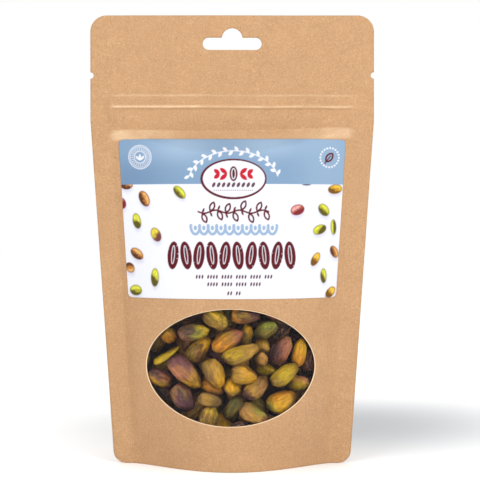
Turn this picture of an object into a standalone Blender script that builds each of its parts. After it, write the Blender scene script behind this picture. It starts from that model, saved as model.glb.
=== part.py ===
"""A stand-up pouch of kraft laminate with an oval window, filled with shelled pistachio kernels.

The pouch is a front and a back panel, heat-sealed together down both sides and across the header,
with a folded gusset as its base. Inside are a press-to-close zip, the clear film behind the window
and the kernels. Metres, +Z up. The front faces -Y and the origin is the middle of the footprint.
"""

import itertools
import math

import bmesh
import bpy
import numpy as np
from mathutils import Matrix, Vector

MM = 0.001

# The pouch
WIDTH = 130 * MM  # flat width of the bag
HEIGHT = 205.5 * MM  # standing height
SIDE_SEAL = 9 * MM  # width of the flat sealed band down each side
DRAW_IN = 10.8 * MM  # how far each side comes in at the base, where the panels stand apart
SHOULDER = 157 * MM  # height at which the flat header ends and the panels part
SHOULDER_EASE = 9 * MM  # height over which they part
BULGE = 27 * MM  # how far each panel stands out at the base
BULGE_POWER = 0.42  # how full the side view is
FILLED_FROM = 30 * MM  # height from which the kernels fill the cross-section out
TOP_CORNER = 7.5 * MM
BOTTOM_CORNER = 5.5 * MM

SHARP_ANGLE = math.radians(40)  # edges sharper than this are shaded sharp

# Sheets
PANEL_THICK = 0.2 * MM
FILM_THICK = 0.1 * MM
LABEL_THICK = 0.1 * MM
SHEET_GAP = 0.3 * MM  # left between two sheets that touch
LAYER_STEP = 0.55 * MM  # from the middle of a panel to the middle of a sheet laid on it
PANEL_Y = (SHEET_GAP + PANEL_THICK) / 2  # middle of each panel in the flat header

# Header
ZIP_Z = 163.3 * MM
ZIP_RISE = 1.15 * MM  # how far the zip lifts each panel
LIFTED_LOW, LIFTED_HIGH = 160 * MM, 167.2 * MM  # the band that it lifts
EASE_BELOW, EASE_ABOVE = 5 * MM, 2.4 * MM  # height over which the panel comes back down
EASE_SIDE = 0.04  # and the share of the width over which it does so at each side seal
ZIP_FLANGE = 5.6 * MM  # height of each zip strip
ZIP_SHEET = 0.3 * MM
ZIP_LENGTH = 104 * MM
SLOT_Z = 192.5 * MM  # hang slot, middle of its straight bar
SLOT_WIDTH = 27 * MM
SLOT_HEIGHT = 5.6 * MM
DOME_RADIUS = 4.7 * MM
DOME_Z = SLOT_Z + 2.4 * MM
NOTCH_Z = 178 * MM
NOTCH_RADIUS = 1.5 * MM
CUTTER_DEPTH = 90 * MM  # more than the pouch is deep

# Zip
RIB_HALF = 0.45 * MM  # half the rib's height
LIP_INNER, LIP_OUTER = 0.8 * MM, 1.3 * MM  # distance of each lip's faces from the middle of the rib

# Window and label
WINDOW_X = -0.65 * MM
WINDOW_Z = 46 * MM
WINDOW_HALF_X = 38.1 * MM
WINDOW_HALF_Z = 26.2 * MM
FILM_MARGIN = 5 * MM  # how far the film reaches past the window
LABEL_SHARE = 0.937  # of the width between the side seals
LABEL_BOTTOM = 76.5 * MM
LABEL_TOP = 148.5 * MM
LABEL_CORNER = 2 * MM

# Base
SKIRT = 4.5 * MM  # height at which the gusset leaves the panels at the middle
SKIRT_SIDE = 26 * MM  # and how much higher at the side seals
CREASE_RISE = 30 * MM  # height of the gusset's fold at the side seals
CREASE_START = 0.5  # share of the width that stays flat before the fold rises
GUSSET_FLAT = 0.6  # share of the half depth that lies flat on the ground
GUSSET_REACH = 0.94  # share of the width between the side seals
GUSSET_GAP = 1 * MM  # from the middle of a panel to the middle of the gusset's edge

# Kernels
KERNEL_GAP = 0.35 * MM
KERNEL_SEGMENTS = 10
KERNEL_RINGS = 6
KERNEL_BALLS = 9  # along a kernel, to find what it touches
FLAT_KERNEL = 0.5 * MM  # more than this wider than thick, and it takes three balls side by side
KERNEL_TAPER = 0.16  # how much slimmer the pointed end is
KERNEL_BEND = 0.07  # how far the ends bend away from the viewer's side, as a share of the length
HALF_FACE = 0.12  # how far the flat face of a half kernel still bulges
NUDGE = 0.7 * MM  # a kernel may settle this far to the side, up or down,
NUDGE_TURN = 10  # turn this many degrees more or less
NUDGE_PITCH = 22  # and pitch this many
NUDGE_COST = 0.9 * MM  # for each of which it has to come this much further forward
HEAP_FRONT = 8 * MM  # the kernels behind those in the window start here
HEAP_LOW = 8 * MM
HEAP_HIGH = 78 * MM
HEAP_MARGIN = 12 * MM  # from the heap's sides to the side seals
HEAP_GAP = 1.5 * MM  # from its back to the middle of the back panel


def smooth(t):
    """0 below 0, 1 above 1, and an even ease between them."""
    t = min(max(t, 0.0), 1.0)
    return t * t * (3 - 2 * t)


def half_width(z):
    """Half the pouch's width at height z."""
    return WIDTH / 2 - DRAW_IN * max(0.0, 1 - z / SHOULDER)


def corner_inset(z):
    """How far the rounded corners take the side edge in at height z."""
    if z < BOTTOM_CORNER:
        return BOTTOM_CORNER - math.sqrt(BOTTOM_CORNER**2 - (BOTTOM_CORNER - z) ** 2)
    above = z - (HEIGHT - TOP_CORNER)
    if above > 0:
        return TOP_CORNER - math.sqrt(max(0.0, TOP_CORNER**2 - above**2))
    return 0.0


def bulge(z):
    """How far a panel stands out at its middle line at height z."""
    if z >= SHOULDER:
        return 0.0
    full = BULGE * (1 - z / SHOULDER) ** BULGE_POWER
    return full * smooth((SHOULDER - z) / SHOULDER_EASE)


def cross_section(t, z):
    """Share of the bulge at t, which is 0 on the middle line and 1 at the side seal.

    Low down the curve is a soft bell, as the bottom edge stands. Higher up the kernels fill it out.
    """
    filled = smooth(z / FILLED_FROM)
    t = min(abs(t), 1.0)
    return (1 - t ** (2 + 0.5 * filled)) ** (1.4 - 0.3 * filled)


def panel_depth(x, z):
    """Distance of a panel's middle surface from the plane between the two panels."""
    t = x / (half_width(z) - SIDE_SEAL)
    ridge = ZIP_RISE * smooth((z - LIFTED_LOW + EASE_BELOW) / EASE_BELOW)
    ridge *= smooth((LIFTED_HIGH + EASE_ABOVE - z) / EASE_ABOVE) * smooth((1 - abs(t)) / EASE_SIDE)
    return PANEL_Y + ridge + bulge(z) * cross_section(t, z)


def panel_slope(x, z, step=0.2 * MM):
    """Length of the panel's normal per unit of Y, 1 where the panel is upright and flat."""
    across = (panel_depth(x + step, z) - panel_depth(x - step, z)) / (2 * step)
    up = (panel_depth(x, z + step) - panel_depth(x, z - step)) / (2 * step)
    return math.sqrt(1 + across**2 + up**2)


def clear_scene():
    """Empties the scene, and makes the collections for the parts and for the cutters."""
    for obj in list(bpy.data.objects):
        bpy.data.objects.remove(obj)
    made = []
    for name in ("pistachio_pouch", "cutters"):
        made.append(bpy.data.collections.new(name))
        bpy.context.scene.collection.children.link(made[-1])
    return made


def material(name, colour, roughness, alpha=1.0):
    """A Principled material."""
    made = bpy.data.materials.new(name)
    made.use_nodes = True
    shader = made.node_tree.nodes["Principled BSDF"]
    shader.inputs["Base Color"].default_value = (*colour, 1.0)
    shader.inputs["Roughness"].default_value = roughness
    shader.inputs["Metallic"].default_value = 0.0
    shader.inputs["Alpha"].default_value = alpha
    return made


def add_object(name, mesh_data, collection, finish=None):
    """Puts a bmesh into a new object of that name, shaded smooth but for its sharp edges."""
    mesh = bpy.data.meshes.new(name)
    mesh_data.to_mesh(mesh)
    mesh_data.free()
    mesh.shade_smooth()
    mesh.set_sharp_from_angle(angle=SHARP_ANGLE)
    obj = bpy.data.objects.new(name, mesh)
    collection.objects.link(obj)
    if finish:
        mesh.materials.append(finish)
    return obj


def thicken(obj, thickness):
    """Turns an open sheet into a shell around it."""
    shell = obj.modifiers.new("thickness", "SOLIDIFY")
    shell.thickness = thickness
    shell.offset = 0.0


def cut(obj, cutters):
    """Takes each cutter out of obj."""
    for cutter in cutters:
        hole = obj.modifiers.new(cutter.name, "BOOLEAN")
        hole.operation = "DIFFERENCE"
        hole.object = cutter


def grid_sheet(across, up, place):
    """A grid with a column for each value of across and a row for each value of up.

    place(a, u) says where the point of column a and row u goes.
    """
    sheet = bmesh.new()
    bmesh.ops.create_grid(sheet, x_segments=len(across) - 1, y_segments=len(up) - 1, size=1.0)
    for vertex in sheet.verts:
        column = round((vertex.co.x + 1) / 2 * (len(across) - 1))
        row = round((vertex.co.y + 1) / 2 * (len(up) - 1))
        vertex.co = place(across[column], up[row])
    return sheet


def even(low, high, count):
    """That many values from low to high, evenly spaced."""
    return [low + (high - low) * i / (count - 1) for i in range(count)]


def row_heights():
    """Heights of a panel's rows: close together at the corners, the shoulder and the zip."""
    bottom = [BOTTOM_CORNER * (1 - math.cos(math.radians(a))) for a in (0, 35, 65, 90)]
    body = even(14 * MM, 140 * MM, 15)
    shoulder = [z * MM for z in (144, 147, 149.5, 152, 154, 156)]
    lifted = [LIFTED_LOW, LIFTED_HIGH, LIFTED_HIGH + EASE_ABOVE]
    header = [178 * MM, 188 * MM]
    top = [HEIGHT - TOP_CORNER * (1 - math.sin(math.radians(a))) for a in (0, 30, 60, 90)]
    return bottom + body + shoulder + lifted + header + top


def make_panel(name, side, collection, finish):
    """The front panel (side -1) or the back one (side 1), before anything is cut from it."""

    def place(t, z):
        inner = half_width(z) - SIDE_SEAL
        outer = half_width(z) - corner_inset(z)
        x = t * inner if abs(t) <= 1 else math.copysign(outer, t)
        return Vector((x, side * panel_depth(x, z), z))

    across = [-2.0, -1.0, -0.96, *even(-0.875, 0.875, 15), 0.96, 1.0, 2.0]
    obj = add_object(name, grid_sheet(across, row_heights(), place), collection, finish)
    thicken(obj, PANEL_THICK)
    return obj


def laid_sheet(name, outline, across, up, step, thickness, collection, finish):
    """A sheet laid on the front panel, step outside it. outline(a, u) gives its x and z."""

    def place(a, u):
        x, z = outline(a, u)
        return Vector((x, -panel_depth(x, z) - step, z))

    obj = add_object(name, grid_sheet(across, up, place), collection, finish)
    thicken(obj, thickness)
    return obj


def make_label(collection, finish):
    """The paper label on the front, a rectangle with small round corners."""
    low, high = LABEL_BOTTOM + LABEL_CORNER, LABEL_TOP - LABEL_CORNER
    inside = [z for z in row_heights() if low + MM < z < high - MM]

    def outline(a, z):
        reach = LABEL_SHARE * (half_width(z) - SIDE_SEAL)
        if z in (LABEL_BOTTOM, LABEL_TOP):
            reach -= LABEL_CORNER
        return a * reach, z

    up = [LABEL_BOTTOM, low, *inside, high, LABEL_TOP]
    across = even(-1, 1, 17)
    return laid_sheet(
        "front_label", outline, across, up, LAYER_STEP, LABEL_THICK, collection, finish
    )


def make_window_film(collection, finish):
    """The clear film behind the window, an oval that reaches a little past it all round."""

    def outline(a, angle):
        x = WINDOW_X + a * (WINDOW_HALF_X + FILM_MARGIN) * math.sin(angle)
        return x, WINDOW_Z - (WINDOW_HALF_Z + FILM_MARGIN) * math.cos(angle)

    tip = math.radians(8)  # the oval ends in a short edge, as a grid can't end in a point
    across, up = even(-1, 1, 15), even(tip, math.pi - tip, 13)
    return laid_sheet(
        "window_film", outline, across, up, -LAYER_STEP, FILM_THICK, collection, finish
    )


def disc_cutter(name, radii, x, z, collection, segments):
    """A round or oval cutter that runs right through the pouch along Y."""
    body = bmesh.new()
    bmesh.ops.create_cone(
        body, cap_ends=True, segments=segments, radius1=1.0, radius2=1.0, depth=CUTTER_DEPTH
    )
    body.transform(
        Matrix.Translation((x, 0, z))
        @ Matrix.Rotation(math.radians(90), 4, "X")
        @ Matrix.Diagonal((radii[0], radii[1], 1.0, 1.0))
    )
    return as_cutter(add_object(name, body, collection))


def as_cutter(obj):
    """Hides a cutter from the render."""
    obj.hide_render = True
    obj.display_type = "WIRE"
    return obj


def make_cutters(collection):
    """The window's cutter, and the cutters that go through both panels of the header."""
    window = disc_cutter(
        "window_cutter", (WINDOW_HALF_X, WINDOW_HALF_Z), WINDOW_X, WINDOW_Z, collection, 48
    )
    bar_half = (SLOT_WIDTH - SLOT_HEIGHT) / 2
    bar = bmesh.new()
    bmesh.ops.create_cube(bar, size=1.0)
    bar.transform(
        Matrix.Translation((0, 0, SLOT_Z))
        @ Matrix.Diagonal((2 * bar_half, CUTTER_DEPTH, SLOT_HEIGHT, 1.0))
    )
    header = [as_cutter(add_object("slot_bar_cutter", bar, collection))]
    for side, word in ((-1, "left"), (1, "right")):
        end = (SLOT_HEIGHT / 2, SLOT_HEIGHT / 2)
        header.append(disc_cutter(f"slot_{word}_cutter", end, side * bar_half, SLOT_Z, collection, 16))
        tear = (NOTCH_RADIUS, NOTCH_RADIUS)
        edge = side * half_width(NOTCH_Z)
        header.append(disc_cutter(f"tear_{word}_cutter", tear, edge, NOTCH_Z, collection, 12))
    dome = (DOME_RADIUS, DOME_RADIUS)
    header.append(disc_cutter("slot_dome_cutter", dome, 0, DOME_Z, collection, 24))
    return window, header


def make_gusset(collection, finish):
    """The base: flat on the ground in the middle, and rising to the panels and to its fold."""

    def place(t, v):
        skirt = SKIRT + SKIRT_SIDE * abs(t) ** 4
        crease = CREASE_RISE * (max(0.0, abs(t) - CREASE_START) / (1 - CREASE_START)) ** 2
        edge = smooth((abs(v) - GUSSET_FLAT) / (1 - GUSSET_FLAT))
        x = t * (half_width(skirt) - SIDE_SEAL)
        y = v * (panel_depth(x, skirt) - GUSSET_GAP)
        return Vector((x, y, PANEL_THICK / 2 + crease + (skirt - crease) * edge))

    across = [-GUSSET_REACH, *even(-0.875, 0.875, 15), GUSSET_REACH]
    sheet = grid_sheet(across, even(-1, 1, 13), place)
    obj = add_object("bottom_gusset", sheet, collection, finish)
    thicken(obj, PANEL_THICK)
    return obj


def extruded_profile(name, points, length, collection, finish):
    """A flat outline in the Y-Z plane, extruded along X to that length."""
    curve = bpy.data.curves.new(name, "CURVE")
    curve.dimensions = "2D"
    curve.fill_mode = "BOTH"
    curve.extrude = length / 2
    outline = curve.splines.new("POLY")
    outline.points.add(len(points) - 1)
    for point, (y, z) in zip(outline.points, points):
        point.co = (y, z, 0.0, 1.0)
    outline.use_cyclic_u = True
    curve.materials.append(finish)
    obj = bpy.data.objects.new(name, curve)
    obj.matrix_world = Matrix(((0, 0, 1, 0), (1, 0, 0, 0), (0, 1, 0, 0), (0, 0, 0, 1)))
    collection.objects.link(obj)
    return obj


def make_zip(collection, finish):
    """The press-to-close zip: a rib on the back strip, held between two lips on the front one."""
    outer = ZIP_RISE + PANEL_Y - PANEL_THICK / 2 - SHEET_GAP  # a strip's outer face
    inner = outer - ZIP_SHEET
    half = ZIP_FLANGE / 2
    tip = inner - SHEET_GAP  # how far rib and lips reach past the middle plane
    back = [
        (outer, ZIP_Z - half),
        (outer, ZIP_Z + half),
        (inner, ZIP_Z + half),
        (inner, ZIP_Z + RIB_HALF),
        (-tip, ZIP_Z + RIB_HALF),
        (-tip, ZIP_Z - RIB_HALF),
        (inner, ZIP_Z - RIB_HALF),
        (inner, ZIP_Z - half),
    ]
    front = [
        (-outer, ZIP_Z - half),
        (-outer, ZIP_Z + half),
        (-inner, ZIP_Z + half),
        (-inner, ZIP_Z + LIP_OUTER),
        (tip, ZIP_Z + LIP_OUTER),
        (tip, ZIP_Z + LIP_INNER),
        (-inner, ZIP_Z + LIP_INNER),
        (-inner, ZIP_Z - LIP_INNER),
        (tip, ZIP_Z - LIP_INNER),
        (tip, ZIP_Z - LIP_OUTER),
        (-inner, ZIP_Z - LIP_OUTER),
        (-inner, ZIP_Z - half),
    ]
    extruded_profile("zip_rib_strip", back, ZIP_LENGTH, collection, finish)
    extruded_profile("zip_lip_strip", front, ZIP_LENGTH, collection, finish)


class Kernel:
    """One shelled kernel: where it shows in the window, its size in millimetres and how it lies.

    turn is counter-clockwise as seen from the front, pitch brings the pointed end towards the viewer
    and roll is about the long axis. half is a kernel that has split, which shows its flat face.
    """

    def __init__(self, name, x, z, size, turn, pitch=0, roll=0, half=False):
        self.name = name
        self.length, self.width, self.thick = (s * MM for s in size)
        self.half = half
        self.place = (x * MM, z * MM)
        self.pose = (turn, pitch, roll)
        self.rotation = facing(*self.pose)
        self.centre = Vector((self.place[0], 0.0, self.place[1]))

    def shape(self, along, across, height):
        """Takes a point of the unit ball, whose poles lie along its first axis, onto the kernel."""
        slim = 1 - KERNEL_TAPER * along
        if self.half and height > 0:
            height *= HALF_FACE
        return Vector(
            (
                along * self.length / 2,
                across * slim * self.width / 2,
                height * slim * self.thick / 2 - KERNEL_BEND * self.length * along**2 / 2,
            )
        )

    def balls(self):
        """Centres and radii of the balls that fill the kernel, about its own middle."""
        centres, radii = [], []
        for i in range(KERNEL_BALLS):
            along = math.cos(math.pi * (i + 0.5) / KERNEL_BALLS)
            slim = (1 - KERNEL_TAPER * along) * math.sqrt(1 - along**2)
            wide, thin = slim * self.width / 2, slim * self.thick / 2
            spread = wide - thin
            for side in (-1, 0, 1) if spread > FLAT_KERNEL else (0,):
                centres.append(self.shape(along, 0, 0) + Vector((0, side * spread, 0)))
                radii.append(min(wide, thin))
        return np.array(centres), np.array(radii)

    def settle(self, placed):
        """Moves the kernel forward until it meets the film or a kernel already there.

        It may shift and turn a little where that lets it come further forward.
        """
        centres, radii = self.balls()
        best = None
        for nudge in itertools.product((0, -1, 1), repeat=4):
            x = self.place[0] + nudge[0] * NUDGE
            z = self.place[1] + nudge[1] * NUDGE
            turn, pitch, roll = self.pose
            rotation = facing(turn + nudge[2] * NUDGE_TURN, pitch + nudge[3] * NUDGE_PITCH, roll)
            offsets = centres @ np.array(rotation).T
            y = most_forward(x, z, offsets, radii, placed)
            cost = y + NUDGE_COST * sum(abs(step) for step in nudge)
            if best is None or cost < best[0]:
                best = (cost, Vector((x, y, z)), rotation, offsets)
        self.centre, self.rotation = best[1], best[2]
        placed.append(np.column_stack((best[3] + np.array(self.centre), radii)))

    def make(self, collection, finish):
        """The kernel as an object, placed by its location and rotation."""
        body = bmesh.new()
        bmesh.ops.create_uvsphere(
            body, u_segments=KERNEL_SEGMENTS, v_segments=KERNEL_RINGS, radius=1.0
        )
        for vertex in body.verts:
            vertex.co = self.shape(vertex.co.z, vertex.co.x, vertex.co.y)
        obj = add_object(self.name, body, collection, finish)
        obj.matrix_world = Matrix.Translation(self.centre) @ self.rotation.to_4x4()
        return obj


def facing(turn, pitch, roll):
    """Rotation of a kernel that lies with its back towards the viewer, turned by those degrees."""
    upright = Matrix(((1, 0, 0), (0, 0, -1), (0, 1, 0)))
    turned = Matrix.Rotation(math.radians(turn), 3, "Z")
    pitched = Matrix.Rotation(math.radians(-pitch), 3, "Y")
    return upright @ turned @ pitched @ Matrix.Rotation(math.radians(roll), 3, "X")


def most_forward(x, z, offsets, radii, placed):
    """Lowest y at which balls at those offsets clear the film and the balls already placed."""
    nearest = -1.0
    for (dx, dy, dz), radius in zip(offsets, radii):
        room = (LAYER_STEP + FILM_THICK + KERNEL_GAP + radius) * panel_slope(x + dx, z + dz)
        nearest = max(nearest, room - panel_depth(x + dx, z + dz) - dy)
    if not placed:
        return nearest
    others = np.concatenate(placed)
    reach = radii[:, None] + others[None, :, 3] + KERNEL_GAP
    apart = (x + offsets[:, None, 0] - others[None, :, 0]) ** 2
    apart += (z + offsets[:, None, 2] - others[None, :, 2]) ** 2
    touching = apart < reach**2
    middle = (others[None, :, 1] - offsets[:, None, 1])[touching]
    span = np.sqrt(reach**2 - apart, where=touching, out=np.zeros_like(reach))[touching]
    for low, high in sorted(zip(middle - span, middle + span)):
        if low < nearest < high:
            nearest = high
    return float(nearest)


# The kernels that show in the window, from those against the film to those behind them.
KERNELS = (
    Kernel("kernel_ridged", 4, 51.5, (17, 8.5, 7.5), 20, 4),
    Kernel("kernel_notched", 5.5, 43, (12, 8.5, 7.5), -12, 4),
    Kernel("kernel_amber_large", 22.5, 30, (15.5, 10, 9), 27, 4),
    Kernel("kernel_lime", 23.5, 42, (14.5, 8, 7.5), 35, 4),
    Kernel("kernel_spotted", 11, 36.5, (15.5, 9, 7.5), 42, -4),
    Kernel("kernel_mauve_patch", -21.5, 43.5, (18.5, 10, 9), -46, 4),
    Kernel("kernel_olive_oval", -8, 44, (14, 10, 9), -65, 6),
    Kernel("kernel_golden_end", 1, 36.5, (12, 8.5, 8), -75, 50),
    Kernel("kernel_pink_tip", -2, 56.5, (17, 9, 8.5), 29, 6),
    Kernel("kernel_tan_lower", 10.5, 25.5, (14.5, 8.5, 8), -17, 4),
    Kernel("kernel_rosy", 22, 53, (15, 9, 8.5), 62, 8),
    Kernel("kernel_orange_slim", 30.5, 51.5, (13, 7, 6.5), 79, 8),
    Kernel("kernel_half_low", -10, 31.5, (12, 6, 4.5), -15, 0, 0, True),
    Kernel("kernel_wedge_low", -10.5, 23.5, (12.5, 8.5, 7), 68, 12),
    Kernel("kernel_two_tone", -17.5, 61.5, (15, 8, 7.5), 5, 8),
    Kernel("kernel_split_sliver", -30.5, 50.5, (14.5, 8, 11.5), 31, 0, -78, True),
    Kernel("kernel_olive_round", -8.5, 67, (13.5, 9.5, 9), -40, 48),
    Kernel("kernel_lime_small", 30, 37.5, (12, 7.5, 7), 20, 48),
    Kernel("kernel_striped_small", 14.5, 44, (12, 7, 7), -10, 52),
    Kernel("kernel_tangerine", -29, 58.5, (12.5, 7.5, 7), 110, 48),
    Kernel("kernel_green_round", 15.5, 62.5, (12, 8, 7.5), 30, 60),
    Kernel("kernel_leaf_green", 1, 27, (12.5, 8.5, 7), 55, 18),
    Kernel("kernel_plum_low", -21.5, 32.5, (13.5, 9.5, 9), -62, 24),
    Kernel("kernel_amber_hidden", -9, 37, (12.5, 7, 6.5), -20, 10),
    Kernel("kernel_plum_left", -33, 40.5, (13, 8, 7.5), -30, 10),
    Kernel("kernel_tan_bottom", -3.5, 18, (13, 8, 7.5), -60, 8),
    Kernel("kernel_brown_mid", -15, 53, (14.5, 9.5, 8.5), 57, 10),
    Kernel("kernel_tan_pit", 7, 59.5, (12, 7, 7), 80, 60),
    Kernel("kernel_straw_small", 14.5, 54.5, (12, 7.5, 7), 0, 55),
    Kernel("kernel_umber_top", 5.5, 69, (14, 8.5, 8), -5, 10),
    Kernel("kernel_olive_left_low", -18, 25, (13, 8, 7.5), 45, 10),
    Kernel("kernel_straw_tip", 14, 49, (12, 6, 5.5), 80, 66),
    Kernel("kernel_maroon_top", 20.5, 70, (14, 8.5, 8), -35, 6),
    Kernel("kernel_dusk_top", 23, 62.5, (13, 8, 7.5), 60, 26),
    Kernel("kernel_dusk_left_top", -17.5, 70, (13.5, 8.5, 8), 10, 10),
    Kernel("kernel_moss_top", -1.5, 68.5, (13, 8.5, 8), 75, 10),
    Kernel("kernel_brown_right", 35, 48, (12.5, 7.5, 7), 88, 6),
    Kernel("kernel_dusk_right", 32, 43, (12.5, 7.5, 7), 110, 8),
    Kernel("kernel_tan_right", 32.5, 33.5, (13, 7.5, 7), 48, 8),
    Kernel("kernel_tan_left_top", -34, 56.5, (12.5, 7.5, 7), 64, 10),
    Kernel("kernel_dusk_left_low", -30.5, 34, (13, 8, 7.5), -50, 8),
    Kernel("kernel_plum_bottom", 15.5, 20, (13, 8, 7.5), 8, 8),
)


def make_kernel_bulk(collection, finish):
    """The rest of the kernels, behind those in the window, as one closed heap."""
    heap = bmesh.new()
    bmesh.ops.create_uvsphere(heap, u_segments=20, v_segments=10, radius=1.0)
    for vertex in heap.verts:
        across, back, up = vertex.co
        z = (HEAP_LOW + HEAP_HIGH) / 2 + up * (HEAP_HIGH - HEAP_LOW) / 2
        x = across * (half_width(z) - SIDE_SEAL - HEAP_MARGIN)
        room = panel_depth(x, z) - HEAP_GAP - HEAP_FRONT
        vertex.co = Vector((x, HEAP_FRONT + room * (back + 1) / 2, z))
    return add_object("kernel_bulk", heap, collection, finish)


def main():
    parts, cutters = clear_scene()
    kraft = material("kraft_paper", (0.68, 0.43, 0.22), 0.75)
    film = material("clear_film", (0.95, 0.95, 0.95), 0.08, 0.2)
    zip_plastic = material("zip_plastic", (0.9, 0.9, 0.88), 0.35)
    paper = material("label_paper", (0.93, 0.94, 0.96), 0.5)
    nut = material("pistachio_kernel", (0.45, 0.36, 0.08), 0.55)

    window, header = make_cutters(cutters)
    cut(make_panel("front_panel", -1, parts, kraft), [window, *header])
    cut(make_panel("back_panel", 1, parts, kraft), header)
    make_gusset(parts, kraft)
    make_window_film(parts, film)
    make_label(parts, paper)
    make_zip(parts, zip_plastic)

    placed = []
    for kernel in KERNELS:
        kernel.settle(placed)
        kernel.make(parts, nut)
    make_kernel_bulk(parts, nut)


main()
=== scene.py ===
"""Looks of a kraft stand-up pouch with an oval window, filled with shelled pistachio kernels.

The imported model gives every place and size. This script adds the paper laminate with its seals,
creases and fibres, the printed label, the clear film and the kernels with their skins.
Metres, +Z up. The front faces -Y.
"""

from __future__ import annotations

import logging
import math
from dataclasses import dataclass, field
from enum import Enum, IntEnum
from typing import Iterable, Sequence

import bmesh
import bpy
import numpy as np
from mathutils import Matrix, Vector, kdtree
from mathutils.geometry import delaunay_2d_cdt


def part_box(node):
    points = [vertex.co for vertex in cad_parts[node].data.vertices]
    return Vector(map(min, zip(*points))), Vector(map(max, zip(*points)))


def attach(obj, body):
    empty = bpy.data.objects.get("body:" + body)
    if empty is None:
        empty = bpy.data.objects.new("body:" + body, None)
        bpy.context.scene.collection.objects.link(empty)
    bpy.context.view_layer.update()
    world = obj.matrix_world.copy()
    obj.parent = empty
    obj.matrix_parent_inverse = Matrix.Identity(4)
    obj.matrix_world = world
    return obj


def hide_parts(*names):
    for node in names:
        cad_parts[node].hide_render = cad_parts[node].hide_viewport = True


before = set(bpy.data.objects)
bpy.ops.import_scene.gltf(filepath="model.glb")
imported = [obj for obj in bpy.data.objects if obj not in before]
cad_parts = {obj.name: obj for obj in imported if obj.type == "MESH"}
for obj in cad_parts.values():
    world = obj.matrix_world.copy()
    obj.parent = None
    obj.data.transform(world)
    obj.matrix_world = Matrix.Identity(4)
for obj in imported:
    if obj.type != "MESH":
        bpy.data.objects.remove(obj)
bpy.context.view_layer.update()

log = logging.getLogger("pouch")

MM = 0.001
ARC_STEP = 0.4 * MM
BODY = "root"
Colour = tuple[float, float, float]


def srgb(red: int, green: int, blue: int) -> Colour:
    """Turns a colour as seen on a screen, 0 to 255, into linear light."""
    return tuple(
        (c / 255 / 12.92) if c <= 10 else ((c / 255 + 0.055) / 1.055) ** 2.4
        for c in (red, green, blue)
    )


def smooth(t: np.ndarray) -> np.ndarray:
    """0 below 0, 1 above 1, and an even ease between them."""
    t = np.clip(t, 0.0, 1.0)
    return t * t * (3 - 2 * t)


def even(low: float, high: float, step: float) -> np.ndarray:
    """Values from low to high, both included, at most a step apart."""
    return np.linspace(low, high, int(math.ceil((high - low) / step)) + 1)


def blend(rgb: np.ndarray, tone: Colour, cover: np.ndarray) -> np.ndarray:
    """Lays a tone over N colours, each covered by its own share, from 0 to 1."""
    cover = np.clip(cover, 0, 1)[:, None]
    return rgb * (1 - cover) + np.array(tone) * cover


def around(x: float, z: float, a: float, b: float, degrees: float) -> tuple[float, float]:
    """The point at that angle on an ellipse about x, z that reaches a to the right and b up."""
    angle = math.radians(degrees)
    return x + a * math.cos(angle), z + b * math.sin(angle)


def arc(centre: tuple[float, float], radius: float, start: float, end: float) -> list[tuple]:
    """Points along an arc.

    Args:
        centre: its middle.
        radius: its radius.
        start: the angle it starts at, in degrees.
        end: the angle it ends at, in degrees.

    Returns:
        The points, about ARC_STEP apart.
    """
    count = max(4, int(abs(math.radians(end - start)) * radius / ARC_STEP))
    return [around(*centre, radius, radius, angle) for angle in np.linspace(start, end, count + 1)]


class Noise:
    """Smooth random values in space, from -1 to 1, the same on each run."""

    SIZE = 24

    def __init__(self, seed: int) -> None:
        """Fills a lattice with random values."""
        random = np.random.default_rng(seed)
        self.lattice = random.uniform(-1.0, 1.0, (self.SIZE,) * 3)

    def at(self, points: np.ndarray) -> np.ndarray:
        """Reads the noise.

        Args:
            points: N by 3 coordinates; features are about one unit in size.

        Returns:
            N values.
        """
        cell = np.floor(points).astype(int)
        share = smooth(points - cell)
        total = np.zeros(len(points))
        for corner in np.ndindex(2, 2, 2):
            index = (cell + corner) % self.SIZE
            weight = np.prod(np.where(corner, share, 1 - share), axis=1)
            total += weight * self.lattice[index[:, 0], index[:, 1], index[:, 2]]
        return total

    def rough(self, points: np.ndarray, octaves: int = 3) -> np.ndarray:
        """Reads the noise with finer and fainter copies of it added."""
        return sum(self.at(points * 2**i + 7.3 * i) / 2**i for i in range(octaves))


# --- Shader graphs -------------------------------------------------------------------------------


class Signal:
    """A value in a shader graph, which Python expressions can be written with."""

    def __init__(self, graph: "Graph", socket: bpy.types.NodeSocket) -> None:
        """Wraps one output socket."""
        self.graph = graph
        self.socket = socket

    def _math(self, operation: str, *values: "Signal | float") -> "Signal":
        """Adds a Math node over those values."""
        return self.graph.add("ShaderNodeMath", {"operation": operation}, dict(enumerate(values)))

    def __add__(self, other: "Signal | float") -> "Signal":
        """Self plus other."""
        return self._math("ADD", self, other)

    __radd__ = __add__

    def __mul__(self, other: "Signal | float") -> "Signal":
        """Self times other."""
        return self._math("MULTIPLY", self, other)

    __rmul__ = __mul__

    def __sub__(self, other: "Signal | float") -> "Signal":
        """Self minus other."""
        return self._math("SUBTRACT", self, other)

    def __rsub__(self, other: float) -> "Signal":
        """Other minus self."""
        return self._math("SUBTRACT", other, self)

    def __pow__(self, other: float) -> "Signal":
        """Self to a power."""
        return self._math("POWER", self, other)

    def ease(self, low: float, high: float) -> "Signal":
        """0 below low and 1 above high, or the other way round where low is the higher."""
        settings = {"interpolation_type": "SMOOTHSTEP"}
        if low < high:
            return self.graph.add(
                "ShaderNodeMapRange", settings, {"Value": self, "From Min": low, "From Max": high}
            )
        return 1 - self.ease(high, low)


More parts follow.
